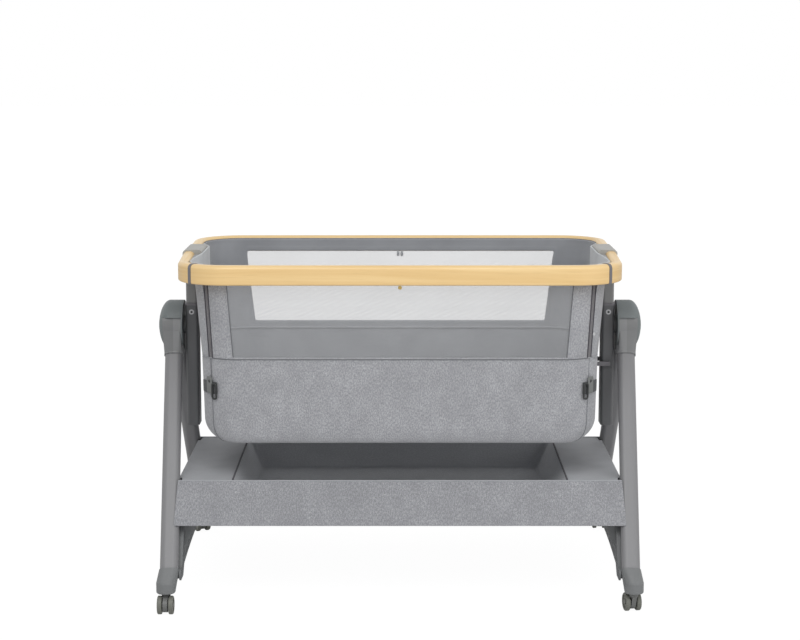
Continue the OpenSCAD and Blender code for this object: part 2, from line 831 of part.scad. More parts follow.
// Outline of the rail's section as points: width across, height down from 0
function rail_outline(h, n = 8) =
    let (top = rail_w / 2 - rail_round, low = rail_w / 2 - bottom_round)
    concat(
        [for (s = [1, -1], i = [0:n]) let (a = 90 * i / n + (s < 0 ? 90 : 0))
            [s * top + rail_round * cos(a), rail_round * (sin(a) - 1)]],
        [for (s = [-1, 1], i = [0:n / 2]) let (a = 180 * i / n + (s < 0 ? 180 : 270))
            [s * low + bottom_round * cos(a), bottom_round * (1 + sin(a)) - h]]);

// Rail through a row of places: x, y, turn of the section, top and height
module rail_sweep(places) {
    loft([for (p = places) [for (q = rail_outline(p[4]))
        [p[0] + q[0] * cos(p[2]), p[1] + q[0] * sin(p[2]), p[3] + q[1]]]]);
}

module rail_tenon(grow = 0) {
    translate([post_x - tenon_w / 2 - grow, -clamp_len / 2 - tenon_len - grow,
               rail_top - tenon_drop - tenon_h - grow])
        cube([tenon_w + 2 * grow, tenon_len + cut + grow, tenon_h + 2 * grow]);
}

module drop_rail() {
    color(wood_tone) {
        translate([-turn_x, rail_w / 2 - rail_dep / 2, front_top]) rotate([90, 0, 90])
            linear_extrude(2 * turn_x) rail_section(front_rail_h);
        both_sides() rail_arc(0, 45 - ring_half - rail_split);
    }
}

module end_rail() {
    reach = 45 - ring_half;
    steps = ceil(reach / arc_step);
    color(wood_tone) difference() {
        rail_sweep(concat([[post_x, -clamp_len / 2, 0, rail_top, rail_h]],
            [for (i = [0:steps]) let (b = reach * i / steps)
                [turn_x + rail_turn * cos(b), -turn_y - rail_turn * sin(b), -b,
                 front_top, front_rail_h]]));
        rail_tenon(seat_gap);
    }
}

module back_rail() {
    steps = ceil(90 / arc_step);
    color(wood_tone) difference() {
        rail_sweep(concat([[post_x, clamp_len / 2, 180, rail_top, rear_rail_h]],
            [for (s = [1, -1], i = [0:steps]) let (b = 90 * i / steps + (s < 0 ? 90 : 0))
                [s * turn_x + rail_turn * cos(b), turn_y + rail_turn * sin(b), 180 + b,
                 rear_top, rear_rail_h]],
            [[-post_x, clamp_len / 2, 0, rail_top, rear_rail_h]]));
        both_sides() mirror([0, 1, 0]) rail_tenon(seat_gap);
    }
}

module rail_clamp() {
    middle = (clamp_in + clamp_out) / 2;
    color(trim_grey) difference() {
        union() {
            prism_y(-clamp_len / 2, clamp_len / 2) translate([middle, (clamp_low + clamp_top) / 2])
                round_rect(clamp_out - clamp_in, clamp_top - clamp_low, clamp_round);
            for (rear = [0, 1]) mirror([0, rear, 0]) rail_tenon();
        }
        translate([post_x, 0, clamp_low - cut]) linear_extrude(socket_deep + cut)
            round_rect(tube_w + 2 * seat_gap, tube_d + 2 * seat_gap, sleeve_round - tube_wall);
    }
}

// Fabric body

// The whole run of walls, from one inset of their outside to another
module wall_shell(levels, from = 0, to = wall_t) {
    band(concat([for (level = levels) ring(level, from)],
        [for (i = [len(levels) - 1:-1:0]) ring(levels[i], to)]));
}

function zip_x(z) = zip_high + zip_lean * (z - rail_low) / (rail_low - seam_z);

// Everything between the two zips, in front, widened on each side
module front_zone(grow) {
    low = seam_z - 10;
    high = rail_top + 10;
    prism_y(-far, front_split) polygon([
        [-zip_x(low) - grow, low], [zip_x(low) + grow, low],
        [zip_x(high) + grow, high], [-zip_x(high) - grow, high]]);
}

module window(low, high, half_low, half_high, y0, y1) {
    prism_y(y0, y1) polygon([
        [-half_low, low], [half_low, low], [half_high, high], [-half_high, high]]);
}

module front_window() {
    window(mesh_foot, mesh_head, front_mesh_low, front_mesh_high, -far, front_split);
}

module rear_window() {
    window(rear_mesh_foot, rear_mesh_head, rear_mesh_low, rear_mesh_high, -front_split, far);
}

module drop_panel() {
    color(heather) difference() {
        intersection() {
            wall_shell(panel_levels);
            front_zone(-zip_w - 0.2);
        }
        front_window();
    }
}

module front_net() {
    color(netting) intersection() {
        wall_shell(panel_levels, (wall_t - mesh_t) / 2, (wall_t + mesh_t) / 2);
        front_window();
    }
}

module rear_net() {
    color(netting) intersection() {
        wall_shell(wall_levels, (wall_t - mesh_t) / 2, (wall_t + mesh_t) / 2);
        rear_window();
    }
}

// Half length of the walls' outside at a height, from the seam up to the hem
function wall_x(z) = lookup(z, [for (level = wall_levels) [level[0], level[1]]]);

// How far the top of an end wall bows in, to pass inside the clamp
function bow(y, z) =
    let (end = y < 0 ? bow_front : bow_rear,
         side = min(1, (end - abs(y)) / (end - bow_flat)),
         rise = max(0, min(1, (z - bow_low) / (bow_full - bow_low))))
    side * rise * (wall_x(z) - bow_x);

// Outline of the walls at a height, with both ends bowed
function bowed_ring(z, inset) =
    let (level = concat([z], [for (i = [1:3])
             lookup(z, [for (level = wall_levels) [level[0], level[i]]])]),
         plain = ring(level, inset),
         half = len(plain) / 2,
         side = [for (y = [-bow_front, -bow_flat, bow_flat, bow_rear])
             [wall_x(z) - inset - bow(y, z), y, z]])
    concat([for (i = [0:half - 1]) plain[i]],
        [for (i = [3:-1:0]) [-side[i][0], side[i][1], z]],
        [for (i = [half:2 * half - 1]) plain[i]],
        side);

module bowed_shell() {
    heights = [seam_z, bow_low, bow_full, rail_low, hem_top];
    band(concat([for (z = heights) bowed_ring(z, 0)],
        [for (i = [len(heights) - 1:-1:0]) bowed_ring(heights[i], wall_t)]));
}

module end_wall() {
    color(heather) difference() {
        bowed_shell();
        front_zone(zip_w + 0.2);
        translate([-rail_len, rear_split, 0]) cube([2 * rail_len, far, rail_top + far]);
        translate([-rail_len, -far, 0]) cube([rail_len, 2 * far, rail_top + far]);
    }
}

module back_wall() {
    color(lining) difference() {
        intersection() {
            wall_shell(wall_levels);
            translate([-rail_len, rear_split, 0]) cube([2 * rail_len, far, rail_top + far]);
        }
        rear_window();
    }
}

// A tape just outside or just inside the line of each zip
module zip_tape(levels, near, wide) {
    color(zip_grey) intersection() {
        wall_shell(levels, zip_cover, zip_cover + tape_t);
        difference() {
            front_zone(wide);
            front_zone(near);
        }
    }
}

// Levels of the tub from its underside up, with its rounded edge, drawn in by a wall
function tub_levels(t) = concat(
    [for (i = [0:edge_steps])
        let (a = 90 * i / edge_steps, bend = 1 - sin(a), in = tub_edge_in * bend + t)
        [tub_bottom + t + tub_edge_z * (1 - cos(a)), seam_len / 2 - skirt_taper - in,
         seam_dep / 2 - skirt_taper - tub_edge_side * bend - t, max(seam_r - in, least_r)]],
    [[seam_z, seam_len / 2 - t, seam_dep / 2 - t, seam_r - t]]);

module tub() {
    inner = tub_levels(wall_t);
    top = inner[len(inner) - 1];
    color(heather) difference() {
        loft([for (level = tub_levels(0)) ring(level)]);
        loft(concat([for (level = inner) ring(level)],
            [ring([top[0] + cut, top[1], top[2], top[3]])]));
    }
}

module floor_sheet() {
    level = tub_levels(wall_t + board_inset)[0];
    color(board_tone) translate([0, 0, tub_floor]) linear_extrude(board_t)
        round_rect(2 * level[1], 2 * level[2], level[3]);
}

// Outline of the mattress at one height, drawn in between its corners
function pad_ring(z, inset, corner = 5, side = 6) =
    let (hx = mattress_len / 2 - inset, hy = mattress_dep / 2 - inset,
         r = max(mattress_r - inset, 8))
    [for (q = [0:3], i = [0:corner + side - 1])
        let (cx = (q == 0 || q == 3 ? 1 : -1) * (hx - r), cy = (q < 2 ? 1 : -1) * (hy - r),
             a = 90 * q + 90 * min(i, corner) / corner,
             t = max(i - corner, 0) / side,
             run = q % 2 == 0 ? 2 * (hx - r) : 2 * (hy - r),
             pull = mattress_pull * 4 * t * (1 - t),
             d = 90 * (q + 1))
        [cx + r * cos(a) + t * run * cos(d + 90) - pull * cos(d),
         cy + r * sin(a) + t * run * sin(d + 90) - pull * sin(d), z]];

module pad() {
    low = mattress_low;
    top = low + mattress_t;
    color(cover_tone) intersection() {
        loft([pad_ring(low, 9), pad_ring(low + 2.5, 4), pad_ring(low + 8, 0.8),
            pad_ring(low + 16, 0), pad_ring(top - 14, 0.6), pad_ring(top - 7, 3.5),
            pad_ring(top - 3, 9), pad_ring(top - 0.8, 20), pad_ring(top + crown, 90)]);
        translate([-mattress_len, -mattress_dep, low])
            cube([2 * mattress_len, 2 * mattress_dep, mattress_t]);
    }
}

// Half length and corner of the tub at the straps' height
strap_level = [strap_z, seam_len / 2 - skirt_taper / 2, seam_dep / 2 - skirt_taper / 2, seam_r];

// The frame of the right front corner's upright axis
module corner_axis(z) {
    translate([strap_level[1] - seam_r, seam_r - strap_level[2], z]) children();
}

module corner_strap() {
    color(trim_grey) corner_axis(strap_z) rotate([0, 0, -38]) rotate_extrude(angle = 24)
        translate([seam_r + soft_gap, 0]) square([strap_t, strap_h]);
    color(zip_grey) corner_axis(buckle_z) rotate([0, 0, -47])
        translate([seam_r + 2 * soft_gap, 0, 0]) rotate([90, 0, 90]) linear_extrude(buckle_t)
            difference() {
                round_rect(buckle_w, buckle_h, 5);
                for (s = [-1, 1]) translate([s * (buckle_w - buckle_bar) / 4, 0])
                    round_rect(buckle_w / 2 - 1.5 * buckle_bar, buckle_h - 2 * buckle_bar, 1.2);
            }
}

module bracket() {
    top = bracket_z + bracket_h + 2;
    rise = seam_z - tub_bottom - tub_edge_z;
    x0 = seam_len / 2 - skirt_taper * (seam_z - top) / rise + soft_gap;
    color(trim_grey) {
        translate([x0, -bracket_side - bracket_t, bracket_z - 2])
            cube([bracket_plate, 2 * (bracket_side + bracket_t), bracket_h + 4]);
        for (s = [0, 1]) mirror([0, s, 0]) translate([x0, bracket_side, bracket_z])
            cube([post_x + bracket_reach - x0, bracket_t, bracket_h]);
    }
}

// Depth of the walls' outside at the front, at a place and height between seam and rail
function front_y(x, z) =
    let (t = (z - seam_z) / (rail_low - seam_z),
         hx = seam_level[1] + t * (rail_level[1] - seam_level[1]),
         hy = seam_level[2] + t * (rail_level[2] - seam_level[2]),
         r = seam_level[3] + t * (rail_level[3] - seam_level[3]),
         u = max(x - hx + r, 0))
    hy - r + sqrt(r * r - u * u);

// The slider lies flat on the curve of the wall, just outside the line of its zip
module zip_slider() {
    x = zip_x(slider_z) + slider_off;
    lean = asin((x - rail_level[1] + rail_level[3]) / rail_level[3]);
    color(steel) translate([x, -front_y(x, slider_z + slider_h), slider_z]) rotate([0, 0, lean]) {
        translate([-slider_w / 2, -slider_clear - slider_t, 0]) cube([slider_w, slider_t, slider_body]);
        translate([0, -slider_clear, slider_body]) rotate([90, 0, 0])
            cylinder(r = slider_w / 2, h = slider_t);
    }
}

module snap() {
    z = mesh_head - snap_r;
    out = max(front_y(0, z - snap_r), front_y(0, z + snap_r)) - (wall_t - mesh_t) / 2 + snap_gap;
    color(brass) translate([0, -out, z])
        rotate([90, 0, 0]) cylinder(r = snap_r, h = snap_t);
}

color(leg_grey) at_corner(true, false) leg();  // left_front_leg
color(leg_grey) at_corner(false, false) leg();  // right_front_leg
color(leg_grey) at_corner(true, true) leg();  // left_rear_leg
color(leg_grey) at_corner(false, true) leg();  // right_rear_leg
on_side(true) leg_sockets();  // left_leg_sockets
on_side(false) leg_sockets();  // right_leg_sockets
both_sides() inner_cover();  // hub_inner_covers
on_side(true) outer_cover();  // left_hub_outer_cover
on_side(false) outer_cover();  // right_hub_outer_cover
both_sides() bolts();  // hub_bolts
on_side(true) post_sleeve();  // left_post_sleeve
on_side(false) post_sleeve();  // right_post_sleeve
both_sides() post_collar();  // post_collars
both_sides() rivet_pair();  // post_rivets
at_corner(true, false) foot();  // left_front_foot
at_corner(false, false) foot();  // right_front_foot
at_corner(true, true) foot();  // left_rear_foot
at_corner(false, true) foot();  // right_rear_foot
on_side(true) side_beam();  // left_side_beam
on_side(false) side_beam();  // right_side_beam
cross_bars();  // base_cross_bars
base_panel();  // base_front_panel
mirror([0, 1, 0]) base_panel();  // base_rear_panel
both_sides() end_panel();  // base_end_panels
base_tops_pair();  // base_tops
basket();  // basket_well
bottom_board();  // base_bottom_board
caster(0);  // left_front_caster
caster(1);  // right_front_caster
caster(2);  // left_rear_caster
caster(3);  // right_rear_caster
wheels(0);  // left_front_wheels
wheels(1);  // right_front_wheels
wheels(2);  // left_rear_wheels
wheels(3);  // right_rear_wheels
on_side(true) release_button();  // left_release_button
on_side(false) release_button();  // right_release_button
both_sides() inner_tube();  // inner_tubes
both_sides() rail_clamp();  // rail_clamps
back_rail();  // rear_rail
both_sides() end_rail();  // end_rails
both_sides() color(trim_grey)  // rail_rings
    rail_arc(45 - ring_half, 45 + ring_half, ring_proud);
tub();  // tub_skirt
on_side(true) end_wall();  // left_end_wall
on_side(false) end_wall();  // right_end_wall
back_wall();  // rear_wall
rear_net();  // rear_mesh
floor_sheet();  // floor_board
zip_tape(wall_levels, 0.2, zip_w + 0.2);  // wall_zip_tapes
both_sides() corner_strap();  // corner_straps
bracket();  // guide_bracket
pad();  // mattress
on_side(true) zip_slider();  // left_zip_slider
on_side(false) zip_slider();  // right_zip_slider
drop_rail();  // front_rail
drop_panel();  // front_panel
front_net();  // front_mesh
zip_tape(panel_levels, -zip_w - 0.2, -0.2);  // panel_zip_tapes
snap();  // rail_snap
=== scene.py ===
"""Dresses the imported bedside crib: sewn cloth, netting, wood, paint and moulded plastic.

Lengths in the tables and functions are millimetres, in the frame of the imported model: X along the
crib, Y from the fold-down front to the rear, Z up. Each surface is a numpy grid of points worked
out from a formula, which its function gives in words.
"""
import math

import bmesh
import bpy
import numpy as np
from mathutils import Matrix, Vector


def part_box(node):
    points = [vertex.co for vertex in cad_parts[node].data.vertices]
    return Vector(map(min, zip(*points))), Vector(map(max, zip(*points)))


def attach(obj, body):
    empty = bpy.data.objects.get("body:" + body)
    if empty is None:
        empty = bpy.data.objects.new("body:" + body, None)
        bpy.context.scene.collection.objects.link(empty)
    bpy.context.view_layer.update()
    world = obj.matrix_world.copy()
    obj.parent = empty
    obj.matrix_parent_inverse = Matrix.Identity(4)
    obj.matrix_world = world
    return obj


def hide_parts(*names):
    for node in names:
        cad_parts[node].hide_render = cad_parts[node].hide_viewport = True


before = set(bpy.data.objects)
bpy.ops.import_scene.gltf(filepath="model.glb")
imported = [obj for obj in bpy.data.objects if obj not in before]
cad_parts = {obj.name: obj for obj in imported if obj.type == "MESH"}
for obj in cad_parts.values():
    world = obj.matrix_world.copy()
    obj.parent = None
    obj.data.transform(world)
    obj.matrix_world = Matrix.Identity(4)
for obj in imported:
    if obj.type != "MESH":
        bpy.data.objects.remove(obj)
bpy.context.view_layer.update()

MM = 0.001
TURN = 2 * math.pi


# Shader helpers

def put(tree, kind, sockets=None, **options):
    """Adds a shader node; sockets maps an input's name or place to a value or to a socket."""
    made = tree.nodes.new("ShaderNode" + kind)
    for option, value in options.items():
        setattr(made, option, value)
    for place, value in (sockets or {}).items():
        if isinstance(value, bpy.types.NodeSocket):
            tree.links.new(value, made.inputs[place])
        else:
            made.inputs[place].default_value = value
    return made


def calc(tree, operation, *values, clamp=False):
    """One Math node's result."""
    return put(tree, "Math", dict(enumerate(values)), operation=operation, use_clamp=clamp).outputs[0]


def times(tree, vector, scale):
    """A vector multiplied axis by axis."""
    return put(tree, "VectorMath", {0: vector, 1: scale}, operation="MULTIPLY").outputs[0]


def split(tree, vector):
    """A vector's three parts."""
    return put(tree, "SeparateXYZ", {0: vector}).outputs


def noise(tree, vector, scale, detail=2.0, rough=0.5):
    """Noise from 0 to 1 at a place."""
    return put(tree, "TexNoise", {"Vector": vector, "Scale": scale, "Detail": detail,
                                  "Roughness": rough}).outputs["Fac"]


def remap(tree, value, low, high, to_low=0.0, to_high=1.0, smooth=True):
    """A value taken from one range to another, eased and held at the ends."""
    return put(tree, "MapRange", {"Value": value, "From Min": low, "From Max": high,
                                  "To Min": to_low, "To Max": to_high},
               interpolation_type="SMOOTHSTEP" if smooth else "LINEAR").outputs["Result"]


def blend_colours(tree, share, first, second):
    """A colour between two, by a share."""
    return put(tree, "Mix", {0: share, 6: first, 7: second}, data_type="RGBA").outputs[2]


def linear(red, green, blue, alpha=1.0):
    """A colour written as it looks on screen, from 0 to 255, in the renderer's linear light."""
    def one(value):
        value /= 255
        return value / 12.92 if value <= 0.04045 else ((value + 0.055) / 1.055) ** 2.4
    return (one(red), one(green), one(blue), alpha)


def scaled(colour, factor):
    """A lighter or darker colour."""
    return tuple(min(1.0, factor * part) for part in colour[:3]) + (1.0,)


def effect(name, inputs, outputs, build):
    """A node group, built once. inputs and outputs map names to kinds, or to kind and default."""
    tree = bpy.data.node_groups.new(name, "ShaderNodeTree")
    for label, (kind, value) in inputs.items():
        socket = tree.interface.new_socket(label, in_out="INPUT", socket_type="NodeSocket" + kind)
        if value is not None:
            socket.default_value = value
    for label, kind in outputs.items():
        tree.interface.new_socket(label, in_out="OUTPUT", socket_type="NodeSocket" + kind)
    given = tree.nodes.new("NodeGroupInput").outputs
    ends = tree.nodes.new("NodeGroupOutput").inputs
    for label, socket in build(tree, given).items():
        tree.links.new(socket, ends[label])
    return tree


def use(tree, group, **values):
    """Places a node group in a material; underscores in the names stand for spaces."""
    made = tree.nodes.new("ShaderNodeGroup")
    made.node_tree = group
    for label, value in values.items():
        label = label.replace("_", " ")
        if isinstance(value, bpy.types.NodeSocket):
            tree.links.new(value, made.inputs[label])
        else:
            made.inputs[label].default_value = value
    return made.outputs


# Effects shared by the materials

def build_weave(tree, given):
    """Plain weave: the product of two waves a thread apart, over a slow unevenness of the yarn."""
    uneven = noise(tree, given["Place"], 260.0, 1.0)
    part = split(tree, given["Place"])
    waves = []
    for axis in (0, 1):
        angle = calc(tree, "DIVIDE", calc(tree, "MULTIPLY", part[axis], TURN), given["Thread"])
        waves.append(calc(tree, "SINE", calc(tree, "ADD", angle, calc(tree, "MULTIPLY", uneven, 2.0))))
    cross = calc(tree, "MULTIPLY", waves[0], waves[1])
    height = calc(tree, "MULTIPLY_ADD", cross, 0.35, calc(tree, "MULTIPLY", uneven, 0.6))
    return {"Height": calc(tree, "ADD", height, 0.2)}


def build_slub(tree, given):
    """A heathered yarn: short slubs along the warp, fine speckle between them and a few pale flecks,
    each a noise stretched by its own amount, over patches a little lighter or darker."""
    slubs = noise(tree, times(tree, given["Place"], (430.0, 190.0, 430.0)), 1.0, 2.0, 0.6)
    speckle = noise(tree, times(tree, given["Place"], (820.0, 640.0, 820.0)), 1.0, 1.0, 0.6)
    flecks = noise(tree, times(tree, given["Place"], (360.0, 300.0, 360.0)), 1.0, 1.0)
    patch = noise(tree, times(tree, given["Place"], (45.0, 26.0, 45.0)), 1.0, 1.0)
    coarse, fine = remap(tree, slubs, 0.38, 0.66), remap(tree, speckle, 0.34, 0.66)
    mask = calc(tree, "MULTIPLY_ADD", coarse, 0.34, calc(tree, "MULTIPLY", fine, 0.42))
    mask = calc(tree, "MULTIPLY_ADD", remap(tree, flecks, 0.66, 0.74), 0.5, mask)
    local = remap(tree, patch, 0.25, 0.75, 0.85, 1.12)
    return {"Mask": calc(tree, "MULTIPLY", mask, local, clamp=True), "Height": mask}


def build_softness(tree, given):
    """Slow light and dark over a cloth, as where it is handled and stretched."""
    slow = noise(tree, given["Place"], given["Scale"], 2.0)
    return {"Mask": remap(tree, slow, 0.3, 0.7)}


def build_holes(tree, given):
    """Netting: round holes in two grids half a step apart, each 1.732 times as long as it is wide.
    The cover is 1 on the threads."""
    part, away = split(tree, given["Place"]), []
    for turn in (0.0, 0.5):
        squares = []
        for axis, long in ((0, 1.0), (1, 1.732)):
            step = calc(tree, "MULTIPLY", given["Step"], long)
            cell = calc(tree, "ADD", calc(tree, "DIVIDE", part[axis], step), turn)
            off = calc(tree, "SUBTRACT", calc(tree, "FRACT", cell), 0.5)
            off = calc(tree, "MULTIPLY", off, long)
            squares.append(calc(tree, "MULTIPLY", off, off))
        away.append(calc(tree, "SQRT", calc(tree, "ADD", *squares)))
    low = calc(tree, "SUBTRACT", given["Hole"], 0.08)
    high = calc(tree, "ADD", given["Hole"], 0.08)
    return {"Cover": remap(tree, calc(tree, "MINIMUM", *away), low, high)}


# Where the rail's corners begin to bend, the length round one for each radian, and how far apart
# the front and the rear read their grain, in metres
BEND_X, BEND_Y, BEND_RADIUS, APART = 0.357, 0.153, 0.095, 3.7


def build_grain(tree, given):
    """Wood along the oval rail. The place is turned into a length round the rail, bent through
    each corner, and a distance across it; noise drawn out along the length makes the grain."""
    part = split(tree, given["Place"])
    wide, deep = calc(tree, "ABSOLUTE", part[0]), calc(tree, "ABSOLUTE", part[1])
    past_x = calc(tree, "MAXIMUM", calc(tree, "SUBTRACT", wide, BEND_X), 0.0)
    past_y = calc(tree, "MAXIMUM", calc(tree, "SUBTRACT", deep, BEND_Y), 0.0001)
    angle = calc(tree, "ARCTAN2", past_x, past_y)
    across = calc(tree, "SQRT", calc(tree, "ADD", calc(tree, "MULTIPLY", past_x, past_x),
                                     calc(tree, "MULTIPLY", past_y, past_y)))
    straight = calc(tree, "SUBTRACT", calc(tree, "MINIMUM", wide, BEND_X),
                    calc(tree, "MINIMUM", deep, BEND_Y))
    straight = calc(tree, "ADD", straight, BEND_Y)
    along = calc(tree, "MULTIPLY", calc(tree, "MULTIPLY_ADD", angle, BEND_RADIUS, straight),
                 calc(tree, "SIGN", part[0]))
    along = calc(tree, "MULTIPLY_ADD", calc(tree, "SIGN", part[1]), APART, along)
    place = put(tree, "CombineXYZ", {0: along, 1: across, 2: part[2]}).outputs[0]
    bend = noise(tree, times(tree, place, (2.2, 14.0, 14.0)), 1.0, 1.0)
    wander = times(tree, put(tree, "CombineXYZ", {0: 0.0, 1: bend, 2: bend}).outputs[0],
                   (0.0, 0.02, 0.03))
    moved = put(tree, "VectorMath", {0: place, 1: wander}, operation="ADD").outputs[0]
    bands = noise(tree, times(tree, moved, (1.3, 75.0, 75.0)), 1.0, 3.0, 0.55)
    pores = noise(tree, times(tree, moved, (16.0, 900.0, 900.0)), 1.0, 2.0, 0.6)
    plank = noise(tree, times(tree, moved, (1.1, 9.0, 9.0)), 1.0, 1.0)
    return {"Bands": remap(tree, bands, 0.36, 0.66), "Pores": remap(tree, pores, 0.56, 0.72),
            "Tone": remap(tree, plank, 0.3, 0.7)}


def build_moulded(tree, given):
    """Spark-eroded skin of moulded plastic: fine noise, with a slow change of gloss over it."""
    fine = noise(tree, given["Place"], given["Scale"], 2.0, 0.6)
    slow = noise(tree, given["Place"], 22.0, 2.0)
    return {"Height": fine, "Mask": remap(tree, slow, 0.3, 0.7)}


def build_scuffs(tree, given):
    """Faint rubs, strongest near the floor: stretched noise kept only at its peaks."""
    rub = noise(tree, times(tree, given["Place"], (60.0, 60.0, 9.0)), 1.0, 4.0, 0.65)
    low = remap(tree, split(tree, given["Place"])[2], 0.35, 0.05, 0.25, 1.0)
    return {"Mask": calc(tree, "MULTIPLY", remap(tree, rub, 0.60, 0.74), low)}


PLACE = {"Place": ("Vector", None)}
weave = effect("plain weave", {**PLACE, "Thread": ("Float", 0.0012)}, {"Height": "Float"}, build_weave)
slub = effect("heathered yarn", PLACE, {"Mask": "Float", "Height": "Float"}, build_slub)
softness = effect("handled cloth", {**PLACE, "Scale": ("Float", 9.0)}, {"Mask": "Float"}, build_softness)
holes = effect("netting holes", {**PLACE, "Step": ("Float", 0.0026), "Hole": ("Float", 0.3)},
               {"Cover": "Float"}, build_holes)
grain = effect("bent wood grain", PLACE, {"Bands": "Float", "Pores": "Float", "Tone": "Float"}, build_grain)
moulded = effect("moulded skin", {**PLACE, "Scale": ("Float", 900.0)},
                 {"Height": "Float", "Mask": "Float"}, build_moulded)
scuffs = effect("floor scuffs", PLACE, {"Mask": "Float"}, build_scuffs)


# Materials

def start(name, from_cloth, **sockets):
    """An empty material with its shader and the place that its effects read, which is the
    piece's own UV map, in metres, on cloth, and the object's own place elsewhere."""
    material = bpy.data.materials.new(name)
    material.use_nodes = True
    tree = material.node_tree
    tree.nodes.clear()
    shader = put(tree, "BsdfPrincipled", {label.replace("_", " "): value for label, value in sockets.items()})
    tree.links.new(shader.outputs[0], tree.nodes.new("ShaderNodeOutputMaterial").inputs[0])
    place = put(tree, "TexCoord").outputs["UV" if from_cloth else "Object"]
    return material, tree, shader, place


def feed(tree, shader, label, socket):
    """Links a socket to one of the shader's inputs."""
    tree.links.new(socket, shader.inputs[label])


def raise_by(tree, shader, height, distance, strength):
    """Bump from a height, with its depth in metres."""
    bump = put(tree, "Bump", {"Height": height, "Distance": distance, "Strength": strength})
    feed(tree, shader, "Normal", bump.outputs[0])


def heathered(name, dark, light):
    """Heathered cloth: light slubs in a dark ground, over a plain weave."""
    material, tree, shader, place = start(name, True, Roughness=0.92, Sheen_Weight=0.25,
                                          Sheen_Roughness=0.5, Specular_IOR_Level=0.2)
    yarn = use(tree, slub, Place=place)
    worn = use(tree, softness, Place=place, Scale=11.0)
    tone = blend_colours(tree, yarn["Mask"], dark, light)
    feed(tree, shader, "Base Color", blend_colours(
        tree, calc(tree, "MULTIPLY", worn["Mask"], 0.22), tone, scaled(dark, 0.93)))
    threads = use(tree, weave, Place=place, Thread=0.0012)
    height = calc(tree, "ADD", threads["Height"], calc(tree, "MULTIPLY", yarn["Height"], 0.8))
    raise_by(tree, shader, height, 0.0003, 0.7)
    return material


def plain(name, colour, thread=0.0009, fade=0.9, depth=0.0002, mapped=True):
    """Plain woven cloth, a little lighter where it is handled."""
    material, tree, shader, place = start(name, mapped, Roughness=0.88, Sheen_Weight=0.15,
                                          Sheen_Roughness=0.5, Specular_IOR_Level=0.25)
    worn = use(tree, softness, Place=place, Scale=14.0)
    feed(tree, shader, "Base Color", blend_colours(tree, worn["Mask"], scaled(colour, fade), colour))
    threads = use(tree, weave, Place=place, Thread=thread)
    raise_by(tree, shader, threads["Height"], depth, 0.6)
    return material


def net(name, colour, least, most):
    """Netting: how much the holes and the threads each cover of what is behind them."""
    material, tree, shader, place = start(name, True, Roughness=0.8, Specular_IOR_Level=0.2,
                                          Base_Color=colour)
    cover = use(tree, holes, Place=place, Step=0.0026, Hole=0.3)
    feed(tree, shader, "Alpha", remap(tree, cover["Cover"], 0.0, 1.0, least, most, smooth=False))
    worn = use(tree, softness, Place=place, Scale=8.0)
    feed(tree, shader, "Base Color", blend_colours(tree, worn["Mask"], colour, scaled(colour, 1.12)))
    return material


def timber(name, dark, light):
    """Pale wood under a satin varnish: bands and tones along the bent rail, with fine pores."""
    material, tree, shader, place = start(name, False, Roughness=0.42, Specular_IOR_Level=0.4,
                                          Coat_Weight=0.25, Coat_Roughness=0.25)
    parts = use(tree, grain, Place=place)
    tone = blend_colours(tree, calc(tree, "MULTIPLY_ADD", parts["Bands"], 0.45,
                                    calc(tree, "MULTIPLY", parts["Tone"], 0.55)), dark, light)
    feed(tree, shader, "Base Color", blend_colours(
        tree, calc(tree, "MULTIPLY", parts["Pores"], 0.22), tone, scaled(dark, 0.72)))
    feed(tree, shader, "Roughness", remap(tree, parts["Bands"], 0.0, 1.0, 0.46, 0.36))
    raise_by(tree, shader, parts["Bands"], 0.00008, 0.4)
    return material


def plastic(name, colour, rough, step=None):
    """Moulded plastic with a fine skin and a slow change of gloss. step gives a distance from the
    middle along X, in metres, and how much darker the plastic is painted beyond it: painted shade
    for the facet past a moulded crease."""
    material, tree, shader, place = start(name, False, Roughness=rough, Specular_IOR_Level=0.45)
    skin = use(tree, moulded, Place=place, Scale=900.0)
    tone = blend_colours(tree, skin["Mask"], colour, scaled(colour, 1.08))
    # Painted shade: beyond the step the colour is darker, for the facet that turns away from the light.
    if step:
        out, darker = calc(tree, "ABSOLUTE", split(tree, place)[0]), scaled(colour, step[1])
        tone = blend_colours(tree, remap(tree, out, step[0] - 0.0006, step[0] + 0.0006), tone, darker)
    feed(tree, shader, "Base Color", tone)
    feed(tree, shader, "Roughness", remap(tree, skin["Mask"], 0.0, 1.0, rough - 0.05, rough + 0.06))
    raise_by(tree, shader, skin["Height"], 0.00006, 0.5)
    return material


def paint(name, colour, rough=0.42):
    """Powder coat: slight orange peel, rubbed lighter near the floor."""
    material, tree, shader, place = start(name, False, Roughness=rough, Specular_IOR_Level=0.5)
    skin = use(tree, moulded, Place=place, Scale=420.0)
    rubs = use(tree, scuffs, Place=place)
    feed(tree, shader, "Base Color", blend_colours(
        tree, calc(tree, "MULTIPLY", rubs["Mask"], 0.5), colour, scaled(colour, 1.25)))
    feed(tree, shader, "Roughness", remap(tree, rubs["Mask"], 0.0, 1.0, rough, rough + 0.15))
    raise_by(tree, shader, skin["Height"], 0.00008, 0.4)
    return material


def metal(name, colour, rough):
    """Plated or solid metal with fine turning marks."""
    material, tree, shader, place = start(name, False, Metallic=1.0, Base_Color=colour)
    skin = use(tree, moulded, Place=place, Scale=1500.0)
    feed(tree, shader, "Roughness", remap(tree, skin["Height"], 0.3, 0.7, rough, rough + 0.12))
    feed(tree, shader, "Base Color", blend_colours(tree, skin["Mask"], scaled(colour, 0.85), colour))
    return material


